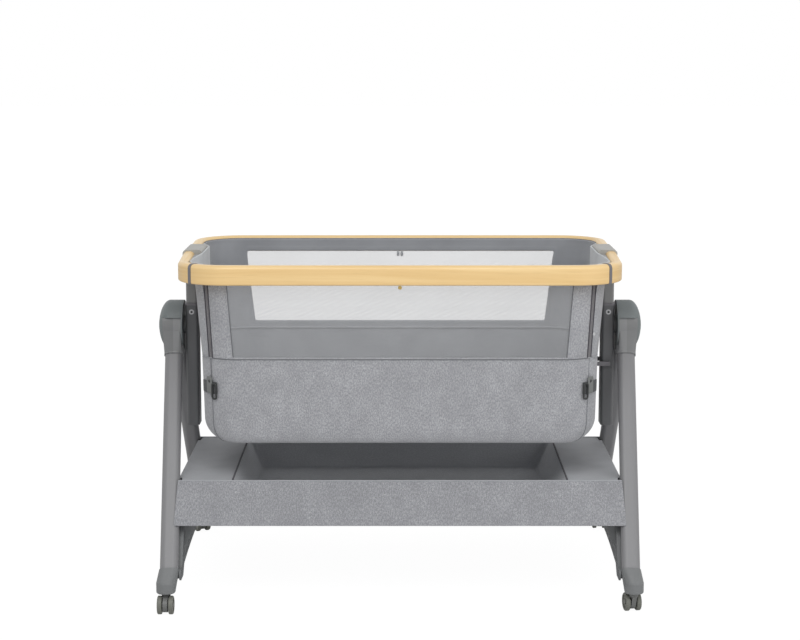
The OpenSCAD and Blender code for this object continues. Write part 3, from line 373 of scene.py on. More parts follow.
heather_cloth = heathered("heather cloth", linear(128, 129, 133), linear(201, 202, 206))
base_cloth = heathered("base heather cloth", linear(121, 122, 126), linear(189, 190, 194))
lining_cloth = plain("lining cloth", linear(150, 152, 156))
rear_lining_cloth = plain("rear lining cloth", linear(147, 149, 153))
end_lining_cloth = plain("end lining cloth", linear(200, 202, 204))
top_cloth = plain("base top cloth", linear(165, 167, 171))
# Painted light: a much lighter copy of the base's heather, to lift the shade inside the basket.
well_cloth_painted_light = heathered("well cloth, painted light", linear(172, 174, 178), linear(202, 204, 208))
binding_cloth = plain("binding tape", linear(160, 162, 165), thread=0.0007)
piping_cloth = plain("pale piping", linear(196, 199, 201), thread=0.0006)
# Dark thread for the real seams, bindings and fold cord; the same cloth is painted shade in the gap under the
# rear rail and deep behind the clamps.
dark_seam_and_gap_shade = plain("dark seams and gap shade", linear(104, 106, 110), thread=0.0005)
mattress_cover = plain("mattress cover", linear(206, 207, 208), thread=0.0011, fade=0.94, mapped=False)
front_net_cloth = net("front netting", linear(200, 201, 203), 0.07, 0.31)
# Painted shade: the rear netting is the front's netting made darker, for the shade it hangs in at the back.
rear_net_shaded_cloth = net("rear netting", linear(180, 181, 184), 0.28, 0.54)
webbing = plain("webbing", linear(76, 78, 80), thread=0.0016, depth=0.0004)
zip_tape_cloth = plain("zip tape", linear(128, 126, 130), thread=0.0006)
# Painted shade in the dark gaps beside the zips; the same dark cloth also makes the real dark piping round
# the basket.
zip_gap_shade_and_dark_piping = plain("zip gap shade and dark piping", linear(72, 70, 76), thread=0.0006)
coil_plastic = plastic("zip coil", linear(150, 148, 150), 0.4)
buckle_plastic = plastic("buckle plastic", linear(40, 42, 42), 0.45)
plate_plastic = plastic("strap plate plastic", linear(108, 110, 109), 0.45)
stud_plastic = plastic("stud plastic", linear(178, 179, 181), 0.4)
rail_timber = timber("pale timber", linear(219, 183, 124), linear(239, 210, 156))
leg_paint = paint("leg paint", linear(125, 125, 127))
post_paint = paint("post paint", linear(93, 94, 96), 0.48)
tube_paint = paint("inner tube paint", linear(126, 126, 126), 0.48)
hub_plastic = plastic("hub plastic", linear(106, 112, 113), 0.52)
# Painted shade: beyond X = ±490 mm the sockets are darker, for the facet past their moulded crease.
socket_plastic_facet_shaded = plastic("socket plastic, painted facet shade", linear(131, 132, 133), 0.5, step=(0.490, 0.84))
beam_plastic = plastic("beam plastic", linear(104, 106, 107), 0.5)
foot_plastic = plastic("foot plastic", linear(112, 114, 115), 0.5)
trim_plastic = plastic("ring plastic", linear(108, 106, 110), 0.5)
clamp_plastic = plastic("clamp plastic", linear(158, 157, 153), 0.5)
button_plastic = plastic("button plastic", linear(96, 100, 101), 0.42)
caster_plastic = plastic("caster fork plastic", linear(106, 107, 106), 0.45)
wheel_plastic = plastic("wheel plastic", linear(107, 108, 101), 0.48)
steel = metal("plated steel", linear(178, 178, 180), 0.3)
brass = metal("snap brass", linear(214, 184, 112), 0.25)
# Painted shade: the near-black colour of the rivets' dished centres stands in for the shade in their holes.
rivet_hole_shade_plastic = plastic("rivet hole shade", linear(60, 60, 62), 0.6)


# Mesh helpers

def spread(marks, counts):
    """Steps from each mark to the next, even between two marks. A mark is one number, or an array
    with a number for each row."""
    marks = np.broadcast_arrays(*[np.asarray(mark, float) for mark in marks])
    parts = [first[..., None] + (second - first)[..., None] * np.arange(count) / count
             for first, second, count in zip(marks, marks[1:], counts)]
    return np.concatenate(parts + [marks[-1][..., None]], axis=-1)


def ease(value, low, high):
    """Rises smoothly from 0 at low to 1 at high."""
    share = np.clip((value - low) / (high - low), 0, 1)
    return share * share * (3 - 2 * share)


def ridge(distance, width):
    """A bell of height 1 at no distance, about as wide as given."""
    return np.exp(-(distance / width) ** 2)


def weld_points(mesh):
    """Joins the points of a mesh that lie on one another, as at its poles and its seam."""
    body = bmesh.new()
    body.from_mesh(mesh)
    bmesh.ops.remove_doubles(body, verts=body.verts, dist=1e-6)
    body.to_mesh(mesh)
    body.free()


def grid(name, points, u, v, keep=None, ring=False, weld=False):
    """A mesh over points, shaped rows by columns by 3, in mm, with u and v in mm as its UV map in
    metres. Seen from outside, columns run to the right and rows upwards. keep drops the faces
    where it is false, ring joins the last column to the first, and weld closes poles and seams."""
    rows, columns = points.shape[:2]
    index = np.arange(rows * columns).reshape(rows, columns)
    if ring:
        index = np.concatenate([index, index[:, :1]], axis=1)
    u, v = (np.broadcast_to(value, index.shape) for value in (u, v))

    def corners(values):
        return np.stack([values[:-1, :-1], values[:-1, 1:], values[1:, 1:], values[1:, :-1]], axis=-1)

    faces, uv = corners(index), np.stack([corners(u), corners(v)], axis=-1)
    if keep is not None:
        faces, uv = faces[keep], uv[keep]
    used, faces = np.unique(faces.reshape(-1, 4), return_inverse=True)
    mesh = bpy.data.meshes.new(name)
    mesh.from_pydata(points.reshape(-1, 3)[used] * MM, [], faces.reshape(-1, 4))
    mesh.uv_layers.new(name="UVMap").uv.foreach_set("vector", uv.reshape(-1) * MM)
    if weld:
        weld_points(mesh)
    mesh.shade_smooth()
    return mesh


def joined(name, meshes):
    """One mesh made of several."""
    body = bmesh.new()
    for mesh in meshes:
        body.from_mesh(mesh)
        bpy.data.meshes.remove(mesh)
    whole = bpy.data.meshes.new(name)
    body.to_mesh(whole)
    body.free()
    return whole


def lengths(path):
    """The length along a path to each of its points."""
    return np.concatenate([[0], np.cumsum(np.linalg.norm(np.diff(path, axis=0), axis=1))])


def cord(name, path, radius, across, loop=False, sides=10, flat=1.0):
    """A closed mesh of a cord along a path. At each point the section is an oval around the
    tangent: radius wide towards across, and flat times that on its other axis. An open cord ends
    in two smaller sections and a pole."""
    path = np.asarray(path, float)
    if loop:
        tangent = np.roll(path, -1, 0) - np.roll(path, 1, 0)
    else:
        tangent = np.gradient(path, axis=0)
    tangent /= np.linalg.norm(tangent, axis=1)[:, None]
    across = np.broadcast_to(np.asarray(across, float), path.shape)
    first = across - np.sum(across * tangent, axis=1)[:, None] * tangent
    first /= np.linalg.norm(first, axis=1)[:, None]
    second = np.cross(tangent, first)
    size = np.broadcast_to(np.asarray(radius, float), path.shape[:1])
    if not loop:
        ends = np.array([1.0, 0.75, 0.0])
        low = path[0] - tangent[0] * size[0] * np.array([1.0, 0.7, 0.0])[:, None]
        high = path[-1] + tangent[-1] * size[-1] * np.array([0.0, 0.7, 1.0])[:, None]
        path = np.concatenate([low, path[1:-1], high])
        first, second = (np.concatenate([side[:1]] * 3 + [side[1:-1]] + [side[-1:]] * 3)
                         for side in (first, second))
        size = np.concatenate([size[0] * ends[::-1], size[1:-1], size[-1] * ends])
    angle = TURN * np.arange(sides) / sides
    section = (np.cos(angle)[None, :, None] * first[:, None]
               + flat * np.sin(angle)[None, :, None] * second[:, None])
    points, along = path[:, None] + size[:, None, None] * section, lengths(path)
    if loop:
        step = np.linalg.norm(points[0, 0] - points[-1, 0])
        points, along = np.concatenate([points, points[:1]]), np.append(along, along[-1] + step)
    around = TURN * np.mean(radius) * np.arange(sides + 1) / sides
    return grid(name, points[::-1], around[None, :], along[::-1, None], ring=True, weld=True)


def stitches(name, path, outward):
    """A row of stitches along a path: short thread ovals, a pitch apart, half sunk in the cloth.
    outward gives the cloth's normal at each point."""
    pitch, length, radius = 3.4, 2.5, 0.35
    path = np.asarray(path, float)
    outward = np.broadcast_to(np.asarray(outward, float), path.shape)
    along = lengths(path)
    places = np.arange(pitch / 2, along[-1] - pitch / 2, pitch)

    def at(distance, values):
        return np.stack([np.interp(distance, along, values[:, axis]) for axis in range(3)], axis=-1)

    middle, normal = at(places, path), at(places, outward)
    way = at(places + length / 2, path) - at(places - length / 2, path)
    way /= np.linalg.norm(way, axis=1)[:, None]
    side = np.cross(normal, way)
    ring = np.array([[-1.0, 0.0], [-0.7, 0.8], [0.0, 1.0], [0.7, 0.8], [1.0, 0.0]])
    angle = TURN * np.arange(6) / 6
    across = (np.cos(angle)[:, None] * normal[:, None, None]
              + np.sin(angle)[:, None] * side[:, None, None])
    points = (middle[:, None, None] + ring[None, :, :1, None] * way[:, None, None] * length / 2
              + radius * ring[None, :, 1:, None] * across)
    count, rows, columns = points.shape[:3]
    index = np.arange(count * rows * columns).reshape(count, rows, columns)
    index = np.concatenate([index, index[:, :, :1]], axis=2)
    faces = np.stack([index[:, :-1, :-1], index[:, 1:, :-1], index[:, 1:, 1:], index[:, :-1, 1:]], axis=-1)
    mesh = bpy.data.meshes.new(name)
    mesh.from_pydata(points.reshape(-1, 3) * MM, [], faces.reshape(-1, 4))
    weld_points(mesh)
    mesh.shade_smooth()
    return mesh


def lathe(name, profile, centre, axis, sides=32):
    """A turned piece: a profile of (radius, height) pairs around a level axis through a centre."""
    axis = np.asarray(axis, float) / np.linalg.norm(axis)
    first = np.cross(axis, np.cross((0.0, 0.0, 1.0), axis))
    first /= np.linalg.norm(first)
    second = np.cross(axis, first)
    profile = np.asarray(profile, float)
    angle = TURN * np.arange(sides) / sides
    wheel = np.cos(angle)[:, None] * first + np.sin(angle)[:, None] * second
    points = (np.asarray(centre, float) + profile[:, None, :1] * wheel[None]
              + profile[:, None, 1:] * axis)
    return grid(name, points, np.arange(sides + 1)[None, :], profile[:, 1:], ring=True, weld=True)


def piece(name, mesh, material, body, replaces=()):
    """A finished object, of one mesh or of several: its material, the CAD body that it rides on
    and the CAD nodes that it replaces."""
    if isinstance(mesh, list):
        mesh = joined(name, mesh)
    made = bpy.data.objects.new(name, mesh)
    mesh.name = name
    bpy.context.scene.collection.objects.link(made)
    if not mesh.materials:
        mesh.materials.append(material)
    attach(made, body)
    if replaces:
        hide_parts(*replaces)
    return made


def round_off(made, levels=1):
    """Subdivides a piece smoothly."""
    rounding = made.modifiers.new("Rounding", "SUBSURF")
    rounding.levels = rounding.render_levels = levels


def thicken(made, thick, inner=None, levels=1):
    """Gives a sheet of cloth its thickness inwards, with another cloth inside if one is given. A
    sheet with a pole in its middle takes no subdivision, which is very slow there."""
    solid = made.modifiers.new("Thickness", "SOLIDIFY")
    solid.thickness = thick * MM
    solid.offset = -1
    solid.use_even_offset = True
    if inner:
        made.data.materials.append(inner)
        solid.material_offset = 1
    if levels:
        round_off(made, levels)


# Shapes of the crib

def span(node):
    """A CAD node's lowest and highest corners, in mm."""
    return tuple(np.array(corner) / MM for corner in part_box(node))


skirt_low, skirt_high = span("tub_skirt")
wall_high = span("rear_wall")[1]
rail_low = span("front_rail")[0]
SIDES = (("left", -1), ("right", 1))
# Height, half length, half depth and corner radius of the walls' outside: at the skirt's seam, at
# the rail's lower edge and at the hem
LEVELS = np.array([(skirt_high[2], skirt_high[0], skirt_high[1], 80.0),
                   (667.0, 430.0, 234.0, 82.0),
                   (wall_high[2], wall_high[0], wall_high[1], 82.75)])
SEAM, RAIL, HEM = LEVELS[:, 0]
# Thickness of the walls, width of half a zip's tape, and how much higher the rear's hem is
WALL, TAPE, LIFT = 5.0, 4.0, 7.0
# The bow of the end walls: the heights it grows between, how far it reaches to the front and to
# the rear, half the length of its flat middle, and how far out that lies
BOW = {"low": 648.0, "full": 661.0, "front": 145.0, "rear": 117.0, "flat": 61.0, "x": 423.75}
# Where the end walls meet the rear wall
REAR_SPLIT = 120.0


def level(z):
    """Half length, half depth and corner radius of the walls at a height."""
    return [np.interp(z, LEVELS[:, 0], LEVELS[:, column]) for column in (1, 2, 3)]


def run_to(z, x):
    """Length along the outline from the middle of a long side out to x, on its corner or not."""
    half, _, radius = level(z)
    straight = half - radius
    return np.where(x < straight, x, straight + radius * np.arcsin(np.clip((x - straight) / radius, 0, 1)))


def run_round(z, y):
    """Length along the outline from the middle of the front to y on the straight of an end."""
    half, depth, radius = level(z)
    return half - radius + radius * math.pi / 2 + y + depth - radius


def perimeter(half, depth, radius):
    """Length round a rounded rectangle."""
    return 4 * (half + depth - 2 * radius) + TURN * radius


def around(z):
    """Whole length of the outline at a height."""
    return perimeter(*level(z))


def shares(count):
    """Even shares of the way round an outline, from the middle of its rear."""
    return np.linspace(-0.5, 0.5, count + 1)[:-1]


def closing(ring, count):
    """Rings that shrink from one, shaped 1 by columns by 3, to a point, and each one's size."""
    size = spread([1, 0], [count])[1:, None, None]
    return ring * np.concatenate([size, size, np.ones_like(size)], axis=-1), size


def facing(points, side):
    """A grid's points with the columns turned round on the left, to keep its outside outside."""
    return points[:, ::-1] if side < 0 else points


def outline(z, s, inset=0.0, sizes=None):
    """Points on a rounded rectangle, and their outward normals. s is the length along it from the
    middle of the front, positive to the right: straight, quarter turn, straight, quarter turn,
    straight, and mirrored for negative s. inset moves a point inwards along its normal."""
    half, depth, radius = sizes or level(z)
    whole = perimeter(half, depth, radius)
    s = (s + whole / 2) % whole - whole / 2
    side, length = np.where(s < 0, -1, 1), np.abs(s)
    straight, quarter, end = half - radius, radius * math.pi / 2, 2 * (depth - radius)
    front = np.clip((length - straight) / radius, 0, math.pi / 2)
    rear = np.clip((length - straight - quarter - end) / radius, 0, math.pi / 2)
    back = np.maximum(length - straight - 2 * quarter - end, 0)
    x = np.minimum(length, straight) + radius * (np.sin(front) - 1 + np.cos(rear)) - back
    y = (-depth + radius * (1 - np.cos(front)) + np.clip(length - straight - quarter, 0, end)
         + radius * np.sin(rear))
    normal = np.stack([side * np.sin(front + rear), -np.cos(front + rear), 0 * (x + z)], axis=-1)
    points = np.stack(np.broadcast_arrays(side * x, y, z), axis=-1)
    return points - np.asarray(inset)[..., None] * normal, normal


def wall(z, s, inset=0.0):
    """The walls: the outline at each height, with the top of both ends bowed in. The bow grows
    from nothing at its ends to the clamp's inner face, and over the last height under the rail."""
    z, s = np.broadcast_arrays(z, s)
    points, normal = outline(z, s, inset)
    y = points[..., 1]
    end = np.where(y < 0, BOW["front"], BOW["rear"])
    side = ease(end - np.abs(y), 0, end - BOW["flat"]) * (np.abs(normal[..., 0]) > 0.999)
    depth = side * ease(z, BOW["low"], BOW["full"]) * (level(z)[0] - BOW["x"])
    points[..., 0] -= np.sign(points[..., 0]) * depth
    return points, normal


def hem_lift(y):
    """How far the hem stands above its height at the front: more towards the clamps, and evenly
    from there to the rear."""
    return LIFT * ease(y, -153, -60)


def lifted(z, s, inset=0.0):
    """The walls, with everything above the rail's lower edge stretched up to the lifted hem."""
    points, _ = wall(z, s)
    taller = z + hem_lift(points[..., 1]) * np.clip((z - RAIL) / (HEM - RAIL), 0, 1)
    return wall(taller, s, inset)


# How far out the zips lean between the skirt's seam and the rail's lower edge
ZIP_LEAN = 8.0


def zip_x(z):
    """The line of the zips, leaning out upwards."""
    return 402 + ZIP_LEAN * (z - RAIL) / (RAIL - SEAM)


# Height and half length of each window's lower and upper edge
FRONT_WINDOW = ((SEAM + 4.3, 345.0), (rail_low[2] - 3, 356.0))
REAR_WINDOW = ((SEAM + 17, 332.0), (HEM - 24, 351.0))


def window_x(window, z):
    """Half length of a window at a height."""
    return np.interp(z, [window[0][0], window[1][0]], [window[0][1], window[1][1]])


def stitched(distance, seam=6.0):
    """How far cloth sinks beside a sewn edge: rounded off at the edge, and a groove at the seam."""
    return 1.1 * ridge(distance, 2.2) + 0.8 * ridge(distance - seam, 1.6)


# Bassinet cloth

def window_edges(window, z, s, centre):
    """Distance from a point of a wall to the nearest edge of its window."""
    edge = run_to(z, window_x(window, z))
    beside = np.abs(np.abs(s - centre) - edge)
    above = np.minimum(np.abs(z - window[0][0]), np.abs(z - window[1][0]))
    within_z = (z > window[0][0]) & (z < window[1][0])
    within_s = np.abs(s - centre) < edge
    away = np.hypot(np.where(within_s, 0, beside), np.where(within_z, 0, above))
    return np.where(within_z & ~within_s, beside, np.where(within_s & ~within_z, above, away))


def framing(below, rows, beside, columns, shape):
    """Which faces of a wall's grid stay: all but those in its window, which is rows by columns
    faces, with as many below it and beside it as given."""
    row, column = np.arange(shape[0] - 1)[:, None], np.arange(shape[1] - 1)[None, :]
    return ((row < below) | (row >= below + rows)
            | (column < beside) | (column >= beside + columns))


def front_panel():
    """The fold-down side: its strip round the window, sunk along its seams, up to each zip."""
    low, high = FRONT_WINDOW[0][0], FRONT_WINDOW[1][0]
    z = spread([SEAM + 0.3, low, high, HEM], [2, 44, 12])[:, None]
    window = run_to(z[:, 0], window_x(FRONT_WINDOW, z[:, 0]))
    edge = run_to(z[:, 0], zip_x(z[:, 0]) - TAPE)
    s = spread([-edge, -window, window, edge], [30, 120, 30])
    inset = (0.2 + stitched(window_edges(FRONT_WINDOW, z, s, 0.0))
             + stitched(edge[:, None] - np.abs(s), 5.0))
    points, _ = wall(z, s, inset)
    keep = framing(2, 44, 30, 120, s.shape)
    made = piece("front_panel_cloth", grid("front_panel_cloth", points, s, z, keep),
                 heather_cloth, "drop_side", ["front_panel"])
    thicken(made, WALL - 0.6, lining_cloth)


def end_wall(name, side):
    """One end wall, from its zip round the front corner to the rear wall, with its bowed top."""
    z = spread([SEAM, BOW["low"], BOW["full"], RAIL, HEM], [30, 6, 3, 12])[:, None]
    start = run_to(z[:, 0], zip_x(z[:, 0]) + TAPE + 0.1)
    places = (-148, -BOW["flat"], BOW["flat"], BOW["rear"], REAR_SPLIT)
    marks = [start] + [run_round(z[:, 0], y) for y in places]
    s = spread(marks, [34, 18, 20, 14, 1])
    inset = (0.1 + stitched(s - start[:, None], 5.0) + 0.7 * ridge(marks[-1][:, None] - s, 2.0)
             + 0.3 * ridge(z - SEAM, 2.0))
    points, _ = lifted(z, side * s, inset)
    if side < 0:
        points, s = points[:, ::-1], -s[:, ::-1]
    made = piece(name + "_cloth", grid(name, points, s, z), heather_cloth, "bassinet",
                 [name])
    thicken(made, WALL - 0.4, end_lining_cloth)


def rear_wall():
    """The rear wall round both rear corners, with its window."""
    low, high = REAR_WINDOW[0][0], REAR_WINDOW[1][0]
    z = spread([SEAM, low, high, HEM], [6, 44, 8])[:, None]
    half = around(z[:, 0]) / 2
    start, window = run_round(z[:, 0], REAR_SPLIT), run_to(z[:, 0], window_x(REAR_WINDOW, z[:, 0]))
    s = spread([start, half - window, half + window, 2 * half - start], [50, 120, 50])
    away = window_edges(REAR_WINDOW, z, s, half[:, None])
    first, last = start[:, None], (2 * half - start)[:, None]
    inset = (0.1 + stitched(away) + 0.8 * ridge(z - SEAM, 3.0)
             + 0.7 * ridge(s - first, 2.0) + 0.7 * ridge(last - s, 2.0))
    points, _ = lifted(z, s, inset)
    keep = framing(6, 44, 50, 120, s.shape)
    made = piece("rear_wall_cloth", grid("rear_wall_cloth", points, s, z, keep),
                 heather_cloth, "bassinet", ["rear_wall"])
    thicken(made, WALL - 0.4, rear_lining_cloth)


def netting(name, window, centre, material, body, node):
    """Netting stretched over a window, drawn in a little between its edges. It runs a hem's width
    behind the cloth on each side."""
    hem = 2.5
    low, high = window[0][0] - hem, window[1][0] + hem
    z = spread([low, high], [24])[:, None]
    edge = run_to(z[:, 0], window_x(window, z[:, 0])) + hem
    middle = around(z[:, 0]) / 2 if centre else 0 * z[:, 0]
    s = spread([middle - edge, middle + edge], [140])
    share = (s - middle[:, None]) / edge[:, None]
    drawn = 1.5 * (1 - share ** 2) * np.sin(math.pi * (z - low) / (high - low))
    points, _ = wall(z, s, WALL / 2 + drawn)
    made = piece(name, grid(name, points, s, z), material, body, [node])
    return made


# The skirt's lower edge is a quarter of an oval: its height, its width at both ends, and its width
# at the front and the rear
CURVE, ROUND_IN, ROUND_SIDE = 45.0, 50.0, 12.0
skirt_foot = skirt_low[2] + CURVE


def skirt_profile(t):
    """The skirt's outline at a length t down from its seam. It narrows evenly to the height where
    its lower edge starts, and then follows a quarter of an oval. Returns the height and the
    outline's sizes."""
    straight = SEAM - skirt_foot
    bend = np.clip((t - straight) / (math.pi / 2 * (CURVE + ROUND_IN) / 2), 0, 1) * math.pi / 2
    z = np.maximum(SEAM - t, skirt_foot) - CURVE * np.sin(bend)
    narrow, turned = 3 * np.clip(t / straight, 0, 1), 1 - np.cos(bend)
    half = skirt_high[0] - narrow - ROUND_IN * turned
    depth = skirt_high[1] - narrow - ROUND_SIDE * turned
    radius = np.maximum(80 - ROUND_IN * turned, 30)
    return z, (half, depth, radius)


SKIRT_EDGE = SEAM - skirt_foot + math.pi / 2 * (CURVE + ROUND_IN) / 2


def skirt_points(t, share, inset=0.0):
    """Points on the skirt at a length down it and a share of the way round, from the middle of the
    front."""
    z, sizes = skirt_profile(t)
    return outline(z, share * perimeter(*sizes), inset, sizes)


def tub_skirt():
    """The skirt and its bottom: down from the seam, round the lower edge and in to the middle,
    with shallow pulls under the seam and beside the corner seams."""
    t = spread([0, SEAM - skirt_foot, SKIRT_EDGE], [30, 16])[:, None]
    share = shares(360)[None, :]
    pulls = (0.35 * np.sin(share * TURN * 23) + 0.3 * np.sin(share * TURN * 41 + 1)) * ridge(t, 45)
    inset = 0.3 + 0.9 * ridge(t, 3.0) + pulls * (1 - ridge(t, 6.0))
    points, _ = skirt_points(t, share, inset)
    inner, size = closing(points[-1:], 12)
    points = np.concatenate([points, inner])[::-1]
    down = np.concatenate([t[:, 0], SKIRT_EDGE + 200 * (1 - size[:, 0, 0])])[::-1, None]
    turn = np.linspace(-0.5, 0.5, 361)[None, :] * around(SEAM)
    mesh = grid("tub_skirt_cloth", points, turn, -down, ring=True, weld=True)
    made = piece("tub_skirt_cloth", mesh, heather_cloth, "bassinet", ["tub_skirt"])
    thicken(made, WALL - 0.6, lining_cloth, levels=0)


def on_skirt(z, s, out=0.0):
    """Points on the skirt's upright sides at heights and lengths from the middle of the front, and
    the outward normals."""
    z, s = np.broadcast_arrays(np.asarray(z, float), np.asarray(s, float))
    z, sizes = skirt_profile(SEAM - z)
    return outline(z, s, -out, sizes)


def skirt_ring(half, radius):
    """An even closed path on a rounded rectangle, given by its half width and half height and its
    corner radius, to be laid on the skirt: its shares of the way round and its points."""
    turn = np.arange(48) / 48
    return turn, outline(0 * turn, turn * perimeter(*half, radius), 0.0, (*half, radius))[0]


def corner_hardware():
    """At each front corner a webbing strip comes round from behind the post and ends under a dark
    loop, a cord along a rounded rectangle, beside a plate with a hole: rings that grow from the
    hole to the plate's rounded edge. All of them are bent round the corner."""
    strips, loops, plates = [], [], []
    for _, side in SIDES:
        z, s = spread([431, 457], [8])[:, None], spread([382, 436], [24])[None, :]
        points, _ = on_skirt(z, side * s, 2.4)
        strips.append(grid("strip", facing(points, side), s + 0 * z, z + 0 * s))
        _, bar = skirt_ring((5.2, 15.8), 3.5)
        points, normal = on_skirt(437.7 + bar[:, 1], side * (388 + bar[:, 0]), 4.6)
        loops.append(cord("loop", points, 1.9, normal, loop=True, flat=1.15))
        turn, edge = skirt_ring((9.0, 18.5), 4.0)
        angle = TURN * turn - math.pi / 2
        hole = np.stack([3.0 * np.cos(angle), 8.0 + 3.0 * np.sin(angle)], axis=-1)
        share = np.array([1.0, 0.93, 0.5, 0.12, 0.0])[:, None]
        flat = hole + (edge[:, :2] - hole) * share[..., None]
        out = 4.6 - 0.7 * (share == 1) - 0.5 * (share == 0)
        points, _ = on_skirt(449.5 + flat[..., 1], side * (402.5 + flat[..., 0]), out)
        around_plate = 80 * np.append(turn, 0)[None, :]
        plates.append(grid("plate", facing(points, side), around_plate, 10 * share, ring=True))
    thicken(piece("corner_webbing", strips, webbing, "bassinet", ["corner_straps"]), 1.8)
    piece("corner_loops", loops, buckle_plastic, "bassinet")
    thicken(piece("corner_plates", plates, plate_plastic, "bassinet"), 2.0)


def small_fittings():
    """A press stud on the right end wall beside its zip, and two small folded tabs that hang side
    by side inside the rear hem."""
    place, normal = wall(556.0, run_to(556.0, zip_x(556.0)) + TAPE + 5.5)
    profile = [(0, 1.9), (1.1, 1.9), (1.5, 1.3), (2.2, 1.5), (3.2, 1.6), (3.9, 1.0), (4.1, 0.2),
               (4.1, -0.8), (0, -0.8)]
    piece("end_wall_stud", lathe("stud", profile, place, normal), stud_plastic, "bassinet")
    low, high = 671.5, 682.5
    for name, off in (("rear_tab_left", 4.2), ("rear_tab_right", -4.2)):
        z = spread([low, high], [8])[:, None]
        s = around(z) / 2 + off + spread([-3, 3], [6])[None, :]
        points, _ = wall(z, s, WALL + 0.6 + 0.7 * np.sin(math.pi * (z - low) / (high - low)))
        tab = grid(name, points[:, ::-1], s + 0 * z, z + 0 * s)
        thicken(piece(name, tab, binding_cloth, "bassinet"), 1.2)


def rivet_hole_shades():
    """A dish in the head of each rivet of the post sleeves, coloured near black: painted shade for
    the hole in the rivet.
    """
    low, high = span("post_rivets")
    radius = (high[2] - low[2]) / 2
    profile = [(0, 0.1), (1.2, 0.25), (2.2, 0.5), (2.6, 0.3), (2.7, -0.4), (0, -0.4)]
    places = [(side * (high[0] - radius), low[1] + 0.3, low[2] + radius) for _, side in SIDES]
    piece("rivet_hole_shades", [lathe("recess", profile, place, (0, -1, 0), sides=20) for place in places],
          rivet_hole_shade_plastic, "stand")


def skirt_share(x, rear=False):
    """Share of the way round the skirt, at its seam, for a place on the front or the rear."""
    share = np.sign(x) * run_to(SEAM, abs(x)) / around(SEAM)
    return 0.5 - share if rear else share


def bassinet_trim():
    """Seams and trims of the skirt: the piping at its top, the cord in the fold under the front
    panel, the binding inside its top, its corner seams with a row of stitches on each side, and
    the row of stitches under its top."""
    share = shares(360)
    path, normal = outline(SEAM * np.ones(360), share * around(SEAM), 0.9)
    piece("skirt_top_piping", cord("skirt_top_piping", path, 1.2, normal, loop=True, sides=8),
          binding_cloth, "bassinet")
    edge = run_to(SEAM, zip_x(SEAM) - TAPE)
    path, normal = outline(np.full(160, SEAM), np.linspace(-edge, edge, 160), 0.5)
    piece("front_fold_piping", cord("front_fold_piping", path, 1.0, normal, sides=8),
          dark_seam_and_gap_shade, "bassinet")
    path, normal = outline(SEAM * np.ones(360), share * around(SEAM), WALL)
    piece("skirt_inner_binding", cord("skirt_inner_binding", path, 2.6, normal, loop=True, sides=8),
          lining_cloth, "bassinet")
    t = spread([2, SKIRT_EDGE - 1], [60])
    lines, rows = [], []
    for x in (-394, 394):
        for rear in (False, True):
            at = skirt_share(x, rear)
            points, normals = skirt_points(t, at, 0.2)
            lines.append(cord("line", points, 0.7, normals, sides=6, flat=0.9))
            for off in (-3.2, 3.2):
                beside, _ = skirt_points(t, at + off / around(SEAM), 0.1)
                rows.append(stitches("row", beside, normals))
    piece("skirt_corner_seams", lines, dark_seam_and_gap_shade, "bassinet")
    z = np.full(361, SEAM - 5.0)
    points, normals = skirt_points(5.0 * np.ones(361), np.linspace(-0.5, 0.5, 361), 0.05)
    rows.append(stitches("row", points, normals))
    piece("skirt_stitching", rows, binding_cloth, "bassinet")


def window_stitching(name, window, centre, body):
    """Two rows of stitches round a window."""
    rows = []
    for out in (2.5, 6.0):
        low, high = window[0][0] - min(out, 2.5), window[1][0] + out
        sides = spread([low, high], [40])
        edge = run_to(sides, window_x(window, sides)) + out
        flat = spread([-1, 1], [160])
        runs = [(sides, -edge), (sides, edge), (np.full(161, high), flat * edge[-1])]
        if centre:
            runs.append((np.full(161, window[0][0] - out), flat * edge[0]))
        for z, s in runs:
            points, normals = wall(z, s + (around(z) / 2 if centre else 0), 0.75)
            rows.append(stitches("row", points, normals))
    piece(name, rows, binding_cloth, body)


def window_binding():
    """A thin dark binding down each side of the front window."""
    lines = []
    for _, side in SIDES:
        z = np.linspace(FRONT_WINDOW[0][0], FRONT_WINDOW[1][0], 60)
        points, normals = wall(z, side * (run_to(z, window_x(FRONT_WINDOW, z)) + 0.5), 0.9)
        lines.append(cord("line", points, 0.9, normals, sides=6))
    piece("front_window_binding", lines, dark_seam_and_gap_shade, "drop_side")


def hem_piping():
    """Pale piping on the top edges of the end walls, and on the rear wall a thin dark cord that is
    painted shade for the gap between the rear rail and the hem.
    """
    for name, side in SIDES:
        start, end = run_to(HEM, zip_x(HEM) + TAPE + 2), run_round(HEM, REAR_SPLIT) - 0.5
        s = np.linspace(start, end, 90)
        points, normals = lifted(np.full(90, HEM), side * s, WALL / 2)
        points[:, 2] -= 0.8
        piece(name + "_wall_piping", cord("piping", points, 2.4, normals, sides=10),
              piping_cloth, "bassinet")
    half, start = around(HEM) / 2, run_round(HEM, REAR_SPLIT) + 0.5
    s = np.linspace(start, 2 * half - start, 240)
    points, normals = lifted(np.full(240, HEM), s, 1.2)
    # Painted shade: a thin dark cord for the gap under the rear rail.
    piece("rear_hem_gap_shade", cord("piping", points, 1.1, normals, sides=10), dark_seam_and_gap_shade, "bassinet")


